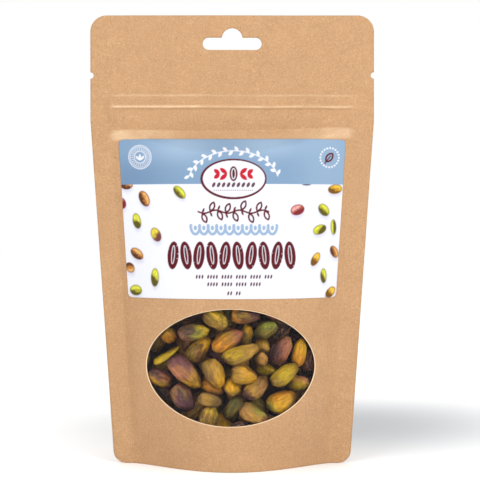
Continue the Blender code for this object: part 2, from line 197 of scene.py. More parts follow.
class Graph:
    """The node graph of one material."""

    def __init__(self, name: str) -> None:
        """Starts an empty material."""
        self.material = bpy.data.materials.new(name)
        self.material.use_nodes = True
        self.nodes = self.material.node_tree.nodes
        self.links = self.material.node_tree.links
        self.nodes.clear()

    def add(
        self,
        kind: str,
        settings: dict | None = None,
        inputs: dict | None = None,
        output: str | int = 0,
    ) -> Signal:
        """Adds a node of any type.

        Args:
            kind: the node's type.
            settings: its own settings, which are set first.
            inputs: values or signals for its sockets, by name or number.
            output: the output socket to return.

        Returns:
            That output.
        """
        node = self.nodes.new(kind)
        for name, value in (settings or {}).items():
            setattr(node, name, value)
        for name, value in (inputs or {}).items():
            if isinstance(value, Signal):
                self.links.new(value.socket, node.inputs[name])
            else:
                node.inputs[name].default_value = value
        return Signal(self, node.outputs[output])

    @staticmethod
    def rgba(colour: Signal | Colour) -> Signal | tuple[float, float, float, float]:
        """A colour in the form that a colour socket takes."""
        return colour if isinstance(colour, Signal) else (*colour, 1.0)

    def place(self, stretch: tuple[float, float, float] = (1.0, 1.0, 1.0)) -> Signal:
        """The surface's own coordinates in millimetres, squeezed along each axis by stretch."""
        at = self.add("ShaderNodeTexCoord", output="Object")
        scale = tuple(s / MM for s in stretch)
        return self.add("ShaderNodeVectorMath", {"operation": "MULTIPLY"}, {0: at, 1: scale})

    def turned(self, degrees: float, stretch: tuple[float, float, float]) -> Signal:
        """Coordinates in millimetres, turned about Y and then squeezed by stretch."""
        spun = self.add(
            "ShaderNodeVectorRotate",
            {"rotation_type": "Y_AXIS"},
            {"Vector": self.place(), "Angle": math.radians(degrees)},
        )
        return self.add("ShaderNodeVectorMath", {"operation": "MULTIPLY"}, {0: spun, 1: stretch})

    def noise(self, at: Signal, size: float, detail: float = 2.0, rough: float = 0.5) -> Signal:
        """Noise from 0 to 1, with features of about that size."""
        return self.add(
            "ShaderNodeTexNoise",
            None,
            {"Vector": at, "Scale": 1 / size, "Detail": detail, "Roughness": rough},
        )

    def mix(self, factor: Signal | float, first: Signal | Colour, second: Signal | Colour) -> Signal:
        """A blend of two colours."""
        sockets = {0: factor, 6: self.rgba(first), 7: self.rgba(second)}
        return self.add("ShaderNodeMix", {"data_type": "RGBA"}, sockets, 2)

    def shade(self, colour: Signal | Colour, by: Signal | float) -> Signal:
        """A colour made lighter or darker, where 1 leaves it as it is."""
        sockets = {"Value": by, "Color": self.rgba(colour)}
        return self.add("ShaderNodeHueSaturation", None, sockets, "Color")

    def attribute(self, name: str, output: str = "Color") -> Signal:
        """What the mesh holds under that name."""
        return self.add("ShaderNodeAttribute", {"attribute_name": name}, output=output)

    def bump(self, height: Signal, depth: float) -> Signal:
        """A normal from a height, whose full range stands depth metres proud."""
        sockets = {"Height": height, "Distance": depth, "Strength": 1.0}
        return self.add("ShaderNodeBump", None, sockets)

    def surface(self, **sockets: Signal | float | Colour) -> bpy.types.Material:
        """Ends the graph in a Principled shader.

        Args:
            sockets: its sockets by name, with _ for spaces, such as base_color.

        Returns:
            The finished material.
        """
        shader = self.nodes.new("ShaderNodeBsdfPrincipled")
        for name, value in sockets.items():
            socket = shader.inputs[name.replace("_", " ").title().replace("Ior", "IOR")]
            if isinstance(value, Signal):
                self.links.new(value.socket, socket)
            else:
                socket.default_value = self.rgba(value) if isinstance(value, tuple) else value
        output = self.nodes.new("ShaderNodeOutputMaterial")
        self.links.new(shader.outputs[0], output.inputs[0])
        return self.material


# --- Finishes ------------------------------------------------------------------------------------


@dataclass(frozen=True)
class KraftFinish:
    """Brown kraft paper: fine fibres, a mottled shade, a few dark specks and painted sheen on creases."""

    colour: Colour = srgb(183, 143, 102)
    dark: Colour = srgb(157, 115, 76)
    light: Colour = srgb(206, 170, 130)
    speck: Colour = srgb(118, 80, 50)
    # the pale tone of the painted highlight on the zip's crests and the shoulder
    painted_sheen: Colour = srgb(236, 208, 172)

    def dress(self) -> bpy.types.Material:
        """Builds the material."""
        g = Graph("kraft_paper")
        at = g.place()
        cloud = g.noise(at, 9.0, 3.0)
        mottle = g.noise(at, 0.6, 3.0, 0.65)
        strand = g.noise(g.turned(12, (0.45, 1.0, 3.2)), 1.0, 2.0)
        cross = g.noise(g.turned(-67, (0.5, 1.0, 3.6)), 1.0, 2.0)
        grain = g.noise(g.turned(88, (0.25, 1.0, 4.5)), 1.0, 3.0)
        tone = g.mix(mottle.ease(0.36, 0.66) * 0.6, self.colour, self.dark)
        tone = g.mix(strand.ease(0.55, 0.75) * 0.45, tone, self.light)
        tone = g.mix(cross.ease(0.56, 0.74) * 0.4, tone, self.light)
        tone = g.mix(grain.ease(0.5, 0.75) * 0.42, tone, self.dark)
        spots = g.add("ShaderNodeTexVoronoi", None, {"Vector": at, "Scale": 0.16}, "Distance")
        tone = g.mix(spots.ease(0.07, 0.03) * 0.55, tone, self.speck)
        tone = g.shade(tone, 0.86 + cloud * 0.18 + g.noise(at, 2.6, 2.0) * 0.07)
        # Painted highlight on the zip's crests and the shoulder.
        tone = g.mix(g.attribute("painted_light", "Fac") * (0.45 + strand * 0.4), tone, self.painted_sheen)
        height = mottle * 0.5 + strand * 0.3 + cross * 0.3 + grain * 0.4
        return g.surface(
            base_color=tone,
            roughness=0.72 + mottle * 0.14,
            normal=g.bump(height, 0.04 * MM),
            specular_ior_level=0.3,
            coat_weight=0.35,
            coat_roughness=0.42,
        )


@dataclass(frozen=True)
class CutPaperFinish:
    """The pale core that shows where the laminate was cut."""

    colour: Colour = srgb(228, 200, 164)

    def dress(self) -> bpy.types.Material:
        """Builds the material."""
        g = Graph("cut_paper_edge")
        fray = g.noise(g.place(), 0.3, 2.0)
        tone = g.shade(self.colour, 0.92 + fray * 0.16)
        return g.surface(base_color=tone, roughness=0.85, normal=g.bump(fray, 0.03 * MM))


@dataclass(frozen=True)
class ShadeLiningFinish:
    """A dark inner face of the laminate, whose colour is painted shade for the gaps between kernels."""

    colour: Colour = srgb(70, 62, 60)

    def dress(self) -> bpy.types.Material:
        """Builds the material."""
        g = Graph("painted_shade_lining")
        crinkle = g.noise(g.place(), 5.0, 3.0)
        tone = g.shade(self.colour, 0.8 + crinkle * 0.4)
        return g.surface(
            base_color=tone, roughness=0.4 + crinkle * 0.2, normal=g.bump(crinkle, 0.2 * MM)
        )


@dataclass(frozen=True)
class LabelFinish:
    """Satin label stock that carries the print."""

    def dress(self) -> bpy.types.Material:
        """Builds the material, whose colour is the mesh's print."""
        g = Graph("label_print")
        at = g.place()
        tooth = g.noise(at, 0.35, 2.0)
        ink = g.shade(g.attribute("print"), 0.985 + g.noise(at, 6.0, 2.0) * 0.03)
        return g.surface(
            base_color=ink,
            roughness=0.45 + tooth * 0.12,
            normal=g.bump(tooth, 0.012 * MM),
            specular_ior_level=0.15,
        )


@dataclass(frozen=True)
class FilmFinish:
    """Clear glossy film, which shows more at a glancing angle."""

    tint: Colour = (0.09, 0.08, 0.1)

    def dress(self) -> bpy.types.Material:
        """Builds the material."""
        g = Graph("clear_film")
        glance = g.add("ShaderNodeLayerWeight", None, {"Blend": 0.25}, "Facing")
        ripple = g.noise(g.place(), 14.0, 2.0)
        return g.surface(
            base_color=self.tint,
            roughness=0.1 + ripple * 0.06,
            alpha=0.04 + glance**2 * 0.22,
            normal=g.bump(ripple, 0.15 * MM),
        )


@dataclass(frozen=True)
class ZipFinish:
    """Milky polyethylene with fine lines along the strip from its extrusion."""

    colour: Colour = srgb(236, 236, 230)

    def dress(self) -> bpy.types.Material:
        """Builds the material."""
        g = Graph("zip_plastic")
        lines = g.noise(g.place((0.02, 1.0, 6.0)), 1.0, 1.0)
        tone = g.shade(self.colour, 0.95 + lines * 0.1)
        return g.surface(base_color=tone, roughness=0.3 + lines * 0.15, normal=g.bump(lines, 0.02 * MM))


@dataclass(frozen=True)
class KernelFinish:
    """The waxy, wrinkled skin of a kernel, whose colours, painted shade included, the mesh holds."""

    freckle: Colour = srgb(92, 58, 34)

    def dress(self) -> bpy.types.Material:
        """Builds the material."""
        g = Graph("kernel_skin")
        at = g.place()
        freckle = g.noise(at, 0.55, 4.0, 0.65)
        blotch = g.noise(at, 2.2, 3.0)
        wrinkle = g.noise(at, 0.8, 5.0, 0.7)
        tone = g.shade(g.attribute("skin"), 0.8 + freckle * 0.3 + blotch * 0.12)
        tone = g.mix(freckle.ease(0.62, 0.74) * 0.22, tone, self.freckle)
        return g.surface(
            base_color=tone,
            roughness=0.38 + blotch * 0.25,
            normal=g.bump(wrinkle, 0.24 * MM),
            specular_ior_level=0.25,
            subsurface_weight=0.06,
            subsurface_scale=0.8 * MM,
        )


@dataclass(frozen=True)
class FloorFinish:
    """A plain white sweep with a painted shadow, greyer behind the pouch. Lengths are in millimetres."""

    # near is the painted shadow's grey round middle, which gives way to far across fade
    near: Colour = (0.5, 0.52, 0.54)
    far: Colour = (1.0, 1.0, 1.0)
    middle: tuple[float, float, float] = (50.0, 130.0, 0.0)
    fade: tuple[float, float] = (20.0, 175.0)

    def dress(self) -> bpy.types.Material:
        """Builds the material."""
        g = Graph("sweep_with_painted_shadow")
        at = g.place()
        away = g.add(
            "ShaderNodeVectorMath", {"operation": "DISTANCE"}, {0: at, 1: self.middle}, "Value"
        )
        tone = g.mix(away.ease(*self.fade), self.near, self.far)
        return g.surface(base_color=tone, roughness=0.9 + g.noise(at, 30.0, 2.0) * 0.05)


@dataclass
class Finishes:
    """One material for each finish, shared by the pieces that have it."""

    kraft: bpy.types.Material = field(default_factory=lambda: KraftFinish().dress())
    cut_edge: bpy.types.Material = field(default_factory=lambda: CutPaperFinish().dress())
    lining: bpy.types.Material = field(default_factory=lambda: ShadeLiningFinish().dress())
    label: bpy.types.Material = field(default_factory=lambda: LabelFinish().dress())
    film: bpy.types.Material = field(default_factory=lambda: FilmFinish().dress())
    zip: bpy.types.Material = field(default_factory=lambda: ZipFinish().dress())
    kernel: bpy.types.Material = field(default_factory=lambda: KernelFinish().dress())


# --- Meshes --------------------------------------------------------------------------------------


def make_piece(
    name: str,
    points: np.ndarray,
    faces: Sequence[Sequence[int]],
    materials: Iterable[bpy.types.Material],
    colours: dict[str, np.ndarray] | None = None,
) -> bpy.types.Object:
    """Makes a smooth mesh object.

    Args:
        name: its name.
        points: N by 3 places of its vertices.
        faces: the vertex numbers of each face.
        materials: its materials.
        colours: N by 3 colours for its vertices, by attribute name.

    Returns:
        The object.
    """
    mesh = bpy.data.meshes.new(name)
    mesh.from_pydata(points.tolist(), [], faces)
    for key, rgb in (colours or {}).items():
        layer = mesh.color_attributes.new(key, "FLOAT_COLOR", "POINT")
        rgba = np.ones((len(points), 4))
        rgba[:, :3] = rgb
        layer.data.foreach_set("color", rgba.ravel())
    mesh.shade_smooth()
    for material in materials:
        mesh.materials.append(material)
    piece = bpy.data.objects.new(name, mesh)
    bpy.context.scene.collection.objects.link(piece)
    return piece


def thicken(piece: bpy.types.Object, thickness: float, inner: int = 0, rim: int = 0) -> None:
    """Turns a sheet into a closed shell around it.

    Args:
        piece: the sheet.
        thickness: the shell's thickness.
        inner: the number of the material on its inner face.
        rim: the number of the material on its cut edge.
    """
    shell = piece.modifiers.new("thickness", "SOLIDIFY")
    shell.thickness = thickness
    shell.offset = 0.0
    shell.material_offset = inner
    shell.material_offset_rim = rim


def grid_faces(columns: int, rows: int) -> list[tuple[int, int, int, int]]:
    """Faces of a grid whose points are numbered along its columns first."""
    return [
        (r * columns + c, r * columns + c + 1, (r + 1) * columns + c + 1, (r + 1) * columns + c)
        for r in range(rows - 1)
        for c in range(columns - 1)
    ]


def hand_over(piece: bpy.types.Object, slot: str, *nodes: str) -> None:
    """Ties a finished piece to the frame and reports it.

    Args:
        piece: the piece.
        slot: the name of its material slot; not used.
        nodes: the frame's nodes that it stands for.
    """
    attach(piece, BODY)
    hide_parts(*nodes)
    log.info("%s: %d vertices, for %s", piece.name, len(piece.data.vertices), ", ".join(nodes))


# --- The pouch's form ----------------------------------------------------------------------------


class Side(Enum):
    """Which of the two panels."""

    FRONT = -1
    BACK = 1


@dataclass(frozen=True)
class PouchForm:
    """The surface that both panels, the label and the film follow.

    In its methods x is a distance to the right, z a height, and t the share that x is of the
    distance from the middle line to the side seal.
    """

    width: float
    height: float
    bulge: float
    zip_z: float
    zip_half: float
    side_seal: float = 9 * MM
    seal_step: float = 0.1 * MM
    draw_in: float = 10.8 * MM
    shoulder: float = 157 * MM
    bulge_power: float = 0.42
    filled_from: float = 30 * MM
    panel_y: float = 0.25 * MM
    top_corner: float = 7.5 * MM
    bottom_corner: float = 5.5 * MM
    zip_rise: float = 1.35 * MM
    lifted: tuple[float, float] = (160 * MM, 167.2 * MM)
    lift_ease: tuple[float, float] = (11 * MM, 2.4 * MM)
    ridge_rise: float = 0.8 * MM
    ridge_width: float = 0.65 * MM
    crease_drop: float = 4.6 * MM
    crease_sag: float = 1.5 * MM
    crease_tilt: float = 0.6 * MM
    crease_blend: float = 0.9 * MM
    roof_slope: float = 1.05
    ripple_rise: float = 0.22 * MM
    wave_rise: float = 0.35 * MM
    wave_length: float = 34 * MM
    noise: Noise = field(default_factory=lambda: Noise(5))

    @classmethod
    def from_frame(cls) -> "PouchForm":
        """Reads the pouch's size from the frame."""
        low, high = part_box("front_panel")
        zip_low, zip_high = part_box("zip_rib_strip")
        return cls(
            width=high.x - low.x,
            height=high.z,
            bulge=-low.y - 0.35 * MM,
            zip_z=(zip_low.z + zip_high.z) / 2,
            zip_half=zip_high.x + 3.5 * MM,
        )

    def half_width(self, z: np.ndarray) -> np.ndarray:
        """Half the pouch's width at height z."""
        return self.width / 2 - self.draw_in * np.maximum(0.0, 1 - z / self.shoulder)

    def inner(self, z: np.ndarray) -> np.ndarray:
        """Distance from the middle line to the side seals at height z."""
        return self.half_width(z) - self.side_seal

    def corner_inset(self, z: np.ndarray) -> np.ndarray:
        """How far the rounded corners take the side edge in at height z."""
        low = np.clip(self.bottom_corner - z, 0, self.bottom_corner)
        high = np.clip(z - (self.height - self.top_corner), 0, self.top_corner)
        return (
            self.bottom_corner
            - np.sqrt(self.bottom_corner**2 - low**2)
            + self.top_corner
            - np.sqrt(self.top_corner**2 - high**2)
        )

    def swell(self, x: np.ndarray, z: np.ndarray) -> np.ndarray:
        """How far the filled body stands out, before the shoulder cuts it off."""
        t = np.minimum(np.abs(x) / self.inner(z), 1.0)
        filled = smooth(z / self.filled_from)
        profile = (1 - t ** (2 + 0.5 * filled)) ** (1.4 - 0.3 * filled)
        rise = np.maximum(1 - z / (self.shoulder + 3 * MM), 0.0) ** self.bulge_power
        return self.bulge * rise * profile

    def crease(self, t: np.ndarray) -> np.ndarray:
        """Height of the shoulder's crease, which sags in the middle."""
        return self.shoulder - self.crease_drop + self.crease_sag * np.abs(t) ** 1.5 + self.crease_tilt * t

    def wander(self, x: np.ndarray) -> np.ndarray:
        """How far the zip's lines stray upwards."""
        return 0.25 * MM * self.noise.at(np.stack((x / (16 * MM), 0 * x + 3.3, 0 * x), 1))

    def roof(self, x: np.ndarray, z: np.ndarray) -> np.ndarray:
        """The shoulder: a slope that comes out from its crease."""
        fall = self.crease(x / self.inner(z)) - z
        ripple = self.ripple_rise * self.noise.at(np.stack((x / (5 * MM), 0 * x, z / (30 * MM)), 1))
        return np.maximum(fall * self.roof_slope + ripple * smooth(fall / MM), 0.0)

    def relief(self, x: np.ndarray, z: np.ndarray) -> np.ndarray:
        """The zip's raised band and ridge, and the slight step down to the side seals."""
        t = np.abs(x) / self.inner(z)
        low, high = self.lifted
        below, above = self.lift_ease
        wander = self.wander(x)
        band = smooth((z - low + below) / below) * smooth((high + above + wander - z) / above)
        band *= 0.85 * smooth((1.04 - t) / 0.06) + 0.15 * smooth((1.16 - t) / 0.04)
        ridge = np.exp(-(((z - self.zip_z - wander) / self.ridge_width) ** 2))
        ends = smooth((self.zip_half - np.abs(x)) / (2 * MM))
        seal = self.seal_step * smooth((t - 0.985) / 0.02)
        return band * self.zip_rise + ridge * ends * self.ridge_rise - seal * (z < low)

    def painted_light(self, x: np.ndarray, z: np.ndarray) -> np.ndarray:
        """Painted highlight, from 0 to 1, that pales the paper on the zip's crests and the shoulder."""
        t = np.clip(x / self.inner(z), -1, 1)
        wander = self.wander(x)
        patchy = 0.75 + 0.5 * self.noise.rough(np.stack((x / (9 * MM), 0 * x + 7.1, z / (20 * MM)), 1))
        crests = 0.42 * np.exp(-(((z - self.lifted[1] - 1.5 * MM - wander) / (0.5 * MM)) ** 2))
        crests += 0.85 * np.exp(-(((z - self.zip_z - 0.3 * MM - wander) / (0.42 * MM)) ** 2))
        fall = self.crease(t) - z
        sides = 0.2 + 0.8 * smooth((np.abs(t) - 0.3) / 0.5)
        corner = smooth((fall / MM + 11 * (1 - np.abs(t)) - 0.4) / 1.6)
        slope = 0.52 * smooth(fall / MM + 0.6) * smooth((6 * MM - fall) / (2 * MM)) * sides * corner
        ends = smooth((self.zip_half + 2 * MM - np.abs(x)) / (5 * MM))
        return np.clip(np.maximum(crests, slope) * patchy * ends, 0, 1)

    def depth(self, x: np.ndarray, z: np.ndarray, side: Side | None = None) -> np.ndarray:
        """Distance of a panel's middle surface from the plane between the two panels.

        Args:
            x: how far each point is to the right.
            z: how high each is.
            side: the panel, where its slight waves are wanted. They go outwards where the pouch is
                full, and where it is flat both panels wave together.

        Returns:
            The distance at each point.
        """
        body, roof = self.swell(x, z), self.roof(x, z)
        k = self.crease_blend
        overlap = np.maximum(k - np.abs(body - roof), 0) / k
        met = np.maximum(np.minimum(body, roof) - overlap**2 * k / 4, 0.0)
        level = self.panel_y + met + self.relief(x, z)
        if side is None:
            return level
        waves = self.wave_rise * self.noise.rough(np.stack((x, 0 * x, z * 0.6), 1) / self.wave_length, 2)
        full = smooth(met / (3 * MM))
        return level + waves * smooth((z - 2 * MM) / (14 * MM)) * (full + side.value * (1 - full))

    def slopes(
        self, x: np.ndarray, z: np.ndarray, side: Side | None, step: float
    ) -> tuple[np.ndarray, np.ndarray]:
        """How steeply the depth grows to the right and upwards, measured over a step each way."""
        across = (self.depth(x + step, z, side) - self.depth(x - step, z, side)) / (2 * step)
        up = (self.depth(x, z + step, side) - self.depth(x, z - step, side)) / (2 * step)
        return across, up

    def place(
        self, x: np.ndarray, z: np.ndarray, side: Side, lift: float | np.ndarray = 0.0
    ) -> np.ndarray:
        """Puts points on a panel.

        Args:
            x: how far each is to the right.
            z: how high each is.
            side: the panel.
            lift: how far outside the panel's middle surface they lie, along its normal.

        Returns:
            N by 3 places.
        """
        out = self.depth(x, z, side)
        across, up = self.slopes(x, z, side, 0.3 * MM)
        length = np.sqrt(1 + across**2 + up**2)
        y = side.value * (out + lift / length)
        return np.stack((x - lift * across / length, y, z - lift * up / length), 1)


# --- Sheets --------------------------------------------------------------------------------------


class Zone(IntEnum):
    """The zones of a sheet of laminate, by the material slot of the zone's outer face.

    Behind OPEN is the dark lining of painted shade, CUT is the pale cut round a window, and where
    the sheets are SEALED together no lining shows.
    """

    OPEN = 0
    CUT = 2
    SEALED = 4


@dataclass
class Panel:
    """The front or back sheet of laminate, cut to its outline and its holes."""

    form: PouchForm
    side: Side
    window: "Window | None" = None
    thickness: float = 0.24 * MM
    spacing: float = 1.0 * MM
    edge_spacing: float = 0.9 * MM
    fine_spacing: float = 0.4 * MM
    columns: int = 112
    outer_share: float = 1.16
    fine_band: tuple[float, float] = (143 * MM, 172 * MM)
    slot_z: float = 192.5 * MM
    slot_half_height: float = 2.8 * MM
    slot_half_bar: float = 10.7 * MM
    dome_rise: float = 2.4 * MM
    dome_radius: float = 4.7 * MM
    notch_z: float = 178 * MM
    notch_radius: float = 1.5 * MM
    burr: float = 0.26 * MM
    burr_drop: float = 0.2 * MM
    sliver: float = 1e-9
    seal_start: float = 1.03
    seal_top: float = 171 * MM
    lowest: float = 0.02 * MM

    def side_edge(self, *heights: float) -> list[tuple[float, float]]:
        """Points of the right edge at those heights."""
        form = self.form
        return [(float(form.half_width(z) - form.corner_inset(z)), float(z)) for z in heights]

    def outline(self) -> list[tuple[float, float]]:
        """The sheet's edge, with rounded corners and a tear notch on each side."""
        form, step = self.form, self.edge_spacing
        low = even(0, form.bottom_corner, self.fine_spacing)
        climb = even(form.bottom_corner, self.notch_z - self.notch_radius, step)[1:-1]
        above = even(self.notch_z + self.notch_radius, form.height - form.top_corner, step)[1:]
        high = form.height - form.top_corner * (1 - np.sin(np.radians(np.arange(5, 91, 5))))
        notch = (float(form.half_width(self.notch_z)), self.notch_z)
        edge = self.side_edge(*low, *climb)
        edge += arc(notch, self.notch_radius, 270, 90) + self.side_edge(*above, *high)
        top = [(float(x), form.height) for x in even(-edge[-1][0], edge[-1][0], step)[1:-1]]
        bottom = [(float(x), 0.0) for x in even(-edge[0][0], edge[0][0], step)[1:-1]]
        left = [(-x, z) for x, z in reversed(edge)]
        return edge + top[::-1] + left + bottom

    def hang_slot(self) -> list[tuple[float, float]]:
        """The hang slot's edge: a bar with round ends, and a dome over its middle."""
        height, bar = self.slot_half_height, self.slot_half_bar
        foot = math.degrees(math.asin((height - self.dome_rise) / self.dome_radius))
        dome = (0.0, self.slot_z + self.dome_rise)
        return (
            arc((bar, self.slot_z), height, -90, 90)
            + arc(dome, self.dome_radius, foot, 180 - foot)
            + arc((-bar, self.slot_z), height, 90, 270)
        )

    def in_sheet(self, x: np.ndarray, z: np.ndarray) -> np.ndarray:
        """Whether each point is on the sheet, and not in a hole of it."""
        form = self.form
        inside = np.abs(x) < form.half_width(z) - form.corner_inset(z)
        inside &= (z > 0) & (z < form.height)
        reach = form.half_width(np.array(self.notch_z))
        inside &= np.hypot(np.abs(x) - reach, z - self.notch_z) > self.notch_radius
        past_bar = np.maximum(np.abs(x) - self.slot_half_bar, 0)
        inside &= np.hypot(past_bar, z - self.slot_z) > self.slot_half_height
        inside &= np.hypot(x, z - self.slot_z - self.dome_rise) > self.dome_radius
        if self.window:
            inside &= self.window.outside(x, z)
        return inside

    def rows(self) -> np.ndarray:
        """Heights of the sheet's rows, close together over the shoulder and the zip."""
        low, high = self.fine_band
        return np.concatenate(
            (
                even(self.spacing / 2, low, self.spacing)[:-1],
                even(low, high, self.fine_spacing),
                even(high, self.form.height - self.spacing / 2, self.spacing)[1:],
            )
        )

    def grid(self) -> tuple[np.ndarray, np.ndarray]:
        """The points between the sheet's edges, in columns that follow the side seals."""
        edge, step = self.outer_share, 2 / self.columns
        share = np.concatenate((even(-edge, -1, step), even(-1, 1, step)[1:], even(1, edge, step)[1:]))
        rows = self.rows()
        x = (share[None, :] * self.form.inner(rows)[:, None]).ravel()
        z = np.repeat(rows, len(share))
        keep = self.in_sheet(x, z)
        return x[keep], z[keep]

    def flat_mesh(self) -> tuple[np.ndarray, list[tuple[int, int, int]]]:
        """The sheet before it is formed.

        Returns:
            N by 2 points, x and z, and its triangles.
        """
        loops = [self.outline(), self.hang_slot()]
        if self.window:
            loops += [self.window.edge(), self.window.edge(self.burr)]
        rim, edges = [], []
        for loop in loops:
            numbers = range(len(rim), len(rim) + len(loop))
            edges += zip(numbers, (*numbers[1:], len(rim)))
            rim += loop
        near = kdtree.KDTree(len(rim))
        for number, (x, z) in enumerate(rim):
            near.insert((x, 0, z), number)
        near.balance()
        inner = [
            (float(x), float(z))
            for x, z in zip(*self.grid())
            if near.find((x, 0, z))[2] > self.fine_spacing
        ]
        found = delaunay_2d_cdt([Vector(p) for p in rim + inner], edges, [], 0, 1e-7)
        points = np.array([tuple(p) for p in found[0]])
        triangles = np.array(found[2])
        corners = points[triangles]
        middle = corners.mean(axis=1)
        (ax, az), (bx, bz) = (corners[:, i].T - corners[:, 0].T for i in (1, 2))
        kept = self.in_sheet(middle[:, 0], middle[:, 1]) & (np.abs(ax * bz - az * bx) > self.sliver)
        return points, triangles[kept].tolist()

    def build(self, name: str, finishes: Finishes) -> bpy.types.Object:
        """Builds the sheet and gives it its finish."""
        points, triangles = self.flat_mesh()
        if self.side is Side.BACK:
            triangles = [t[::-1] for t in triangles]
        x, z = points.T
        past = self.window.past(x, z) if self.window else np.full(len(x), self.form.width)
        drop = self.burr_drop * (1 - smooth(past / self.burr))
        placed = self.form.place(x, z, self.side, -drop)
        placed[:, 2] = np.maximum(placed[:, 2], self.lowest)
        kraft, cut_edge = finishes.kraft, finishes.cut_edge
        # slot 1, the lining, is painted shade
        layers = (kraft, finishes.lining, cut_edge, cut_edge, kraft, cut_edge)
        # The share of painted highlight at each point.
        painted_sheen = np.repeat(self.form.painted_light(x, z)[:, None], 3, axis=1)
        piece = make_piece(name, placed, triangles, layers, {"painted_light": painted_sheen})
        corners = np.array(triangles)
        cut = past[corners].mean(axis=1) < self.burr * 0.9
        sealed = (np.abs(x / self.form.inner(z)) > self.seal_start) | (z > self.seal_top)
        zones = np.where(cut, Zone.CUT, np.where(sealed[corners].any(axis=1), Zone.SEALED, Zone.OPEN))
        piece.data.polygons.foreach_set("material_index", zones.astype(np.int32))
        thicken(piece, self.thickness, 1, 2)
        hand_over(piece, "kraft_paper", name)
        return piece


@dataclass(frozen=True)
class Window:
    """The oval window in the front, and the film sealed behind it."""

    x: float
    z: float
    half_x: float
    half_z: float
    film_margin: float = 5 * MM
    film_thickness: float = 0.08 * MM
    film_back: float = 0.3 * MM
    rings: int = 40
    spokes: int = 160

    @classmethod
    def from_frame(cls) -> "Window":
        """Reads the window from the film behind it, which reaches a margin past it."""
        low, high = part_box("window_film")
        half_x = (high.x - low.x) / 2 - cls.film_margin
        half_z = (high.z - low.z) / 2 - cls.film_margin
        return cls((low.x + high.x) / 2, (low.z + high.z) / 2, half_x, half_z)

    def outside(self, x: np.ndarray, z: np.ndarray) -> np.ndarray:
        """Whether each point is outside the window."""
        return self.past(x, z) > 0

    def edge(self, margin: float = 0.0) -> list[tuple[float, float]]:
        """The window's edge, or a loop that far outside it."""
        a, b = self.half_x + margin, self.half_z + margin
        return [around(self.x, self.z, a, b, degrees) for degrees in range(360)]

    def past(self, x: np.ndarray, z: np.ndarray) -> np.ndarray:
        """How far each point is outside the window's edge, near the edge."""
        dx, dz = x - self.x, z - self.z
        near = np.hypot(dx / self.half_x, dz / self.half_z)
        return near * (near - 1) / np.hypot(dx / self.half_x**2, dz / self.half_z**2)

    def build_film(self, form: PouchForm, finishes: Finishes) -> bpy.types.Object:
        """Builds the film from rings of points around the window's middle."""
        spokes = self.spokes
        share = np.linspace(0, 1, self.rings + 1)[1:]
        angle = np.linspace(0, 2 * math.pi, spokes, endpoint=False)
        reach_x, reach_z = self.half_x + self.film_margin, self.half_z + self.film_margin
        x = np.append(0.0, (share[:, None] * reach_x * np.cos(angle)).ravel()) + self.x
        z = np.append(0.0, (share[:, None] * reach_z * np.sin(angle)).ravel()) + self.z
        faces = [(0, 1 + s, 1 + (s + 1) % spokes) for s in range(spokes)]
        for ring in range(self.rings - 1):
            low, high = 1 + ring * spokes, 1 + (ring + 1) * spokes
            faces += [
                (low + s, high + s, high + (s + 1) % spokes, low + (s + 1) % spokes)
                for s in range(spokes)
            ]
        placed = form.place(x, z, Side.FRONT, -self.film_back)
        piece = make_piece("window_film", placed, faces, (finishes.film,))
        thicken(piece, self.film_thickness)
        hand_over(piece, "clear_film", "window_film")
        return piece


@dataclass
class Gusset:
    """The folded sheet that is the pouch's base."""

    form: PouchForm
    thickness: float = 0.2 * MM
    skirt: float = 4.5 * MM
    skirt_side: float = 26 * MM
    crease_rise: float = 30 * MM
    crease_start: float = 0.5
    flat_share: float = 0.6
    reach: float = 0.94
    gap: float = 1 * MM
    steps: tuple[float, float] = (0.02, 0.04)

    def fold(self, t: np.ndarray) -> np.ndarray:
        """Height of the fold at a share t of the way to the side seals, where it rises."""
        past = np.maximum(0.0, np.abs(t) - self.crease_start) / (1 - self.crease_start)
        return self.crease_rise * past**2

    def build(self, finishes: Finishes) -> bpy.types.Object:
        """Builds the gusset."""
        t = even(-self.reach, self.reach, self.steps[0])
        v = even(-1, 1, self.steps[1])
        columns, rows = len(t), len(v)
        t, v = np.tile(t, rows), np.repeat(v, columns)
        skirt = self.skirt + self.skirt_side * np.abs(t) ** 4
        fold = self.fold(t)
        edge = smooth((np.abs(v) - self.flat_share) / (1 - self.flat_share))
        x = t * self.form.inner(skirt)
        y = v * (self.form.depth(x, skirt) - self.gap)
        z = self.thickness / 2 + fold + (skirt - fold) * edge
        points = np.stack((x, y, z), 1)
        piece = make_piece("bottom_gusset", points, grid_faces(columns, rows), (finishes.kraft,))
        thicken(piece, self.thickness)
        hand_over(piece, "kraft_paper", "bottom_gusset")
        return piece


# --- The label -----------------------------------------------------------------------------------


class Ink:
    """The label's printing inks, and the band's painted highlight and painted shade."""

    WHITE = srgb(213, 214, 221)
    BAND = srgb(115, 141, 168)
    BAND_HIGHLIGHT = srgb(146, 168, 190)
    BAND_SHADE = srgb(100, 126, 156)
    MAROON = srgb(82, 6, 20)
    RED = srgb(176, 18, 38)
    SKY = srgb(136, 158, 184)
    GREY = srgb(76, 34, 48)
    SHADOW = srgb(188, 188, 204)


class NutInk(Enum):
    """The light, middle and dark inks of a printed kernel."""

    GREEN = (srgb(212, 214, 72), srgb(170, 168, 46), srgb(70, 58, 22))
    GOLDEN = (srgb(226, 190, 74), srgb(186, 140, 34), srgb(96, 60, 18))
    TANNED = (srgb(222, 176, 112), srgb(178, 118, 54), srgb(66, 30, 20))
    REDDISH = (srgb(226, 170, 160), srgb(160, 74, 66), srgb(110, 24, 34))
    PLUM_TIPPED = (srgb(216, 200, 70), srgb(184, 160, 44), srgb(92, 34, 56))
    SHADED = (srgb(168, 160, 150), srgb(96, 88, 84), srgb(60, 52, 50))


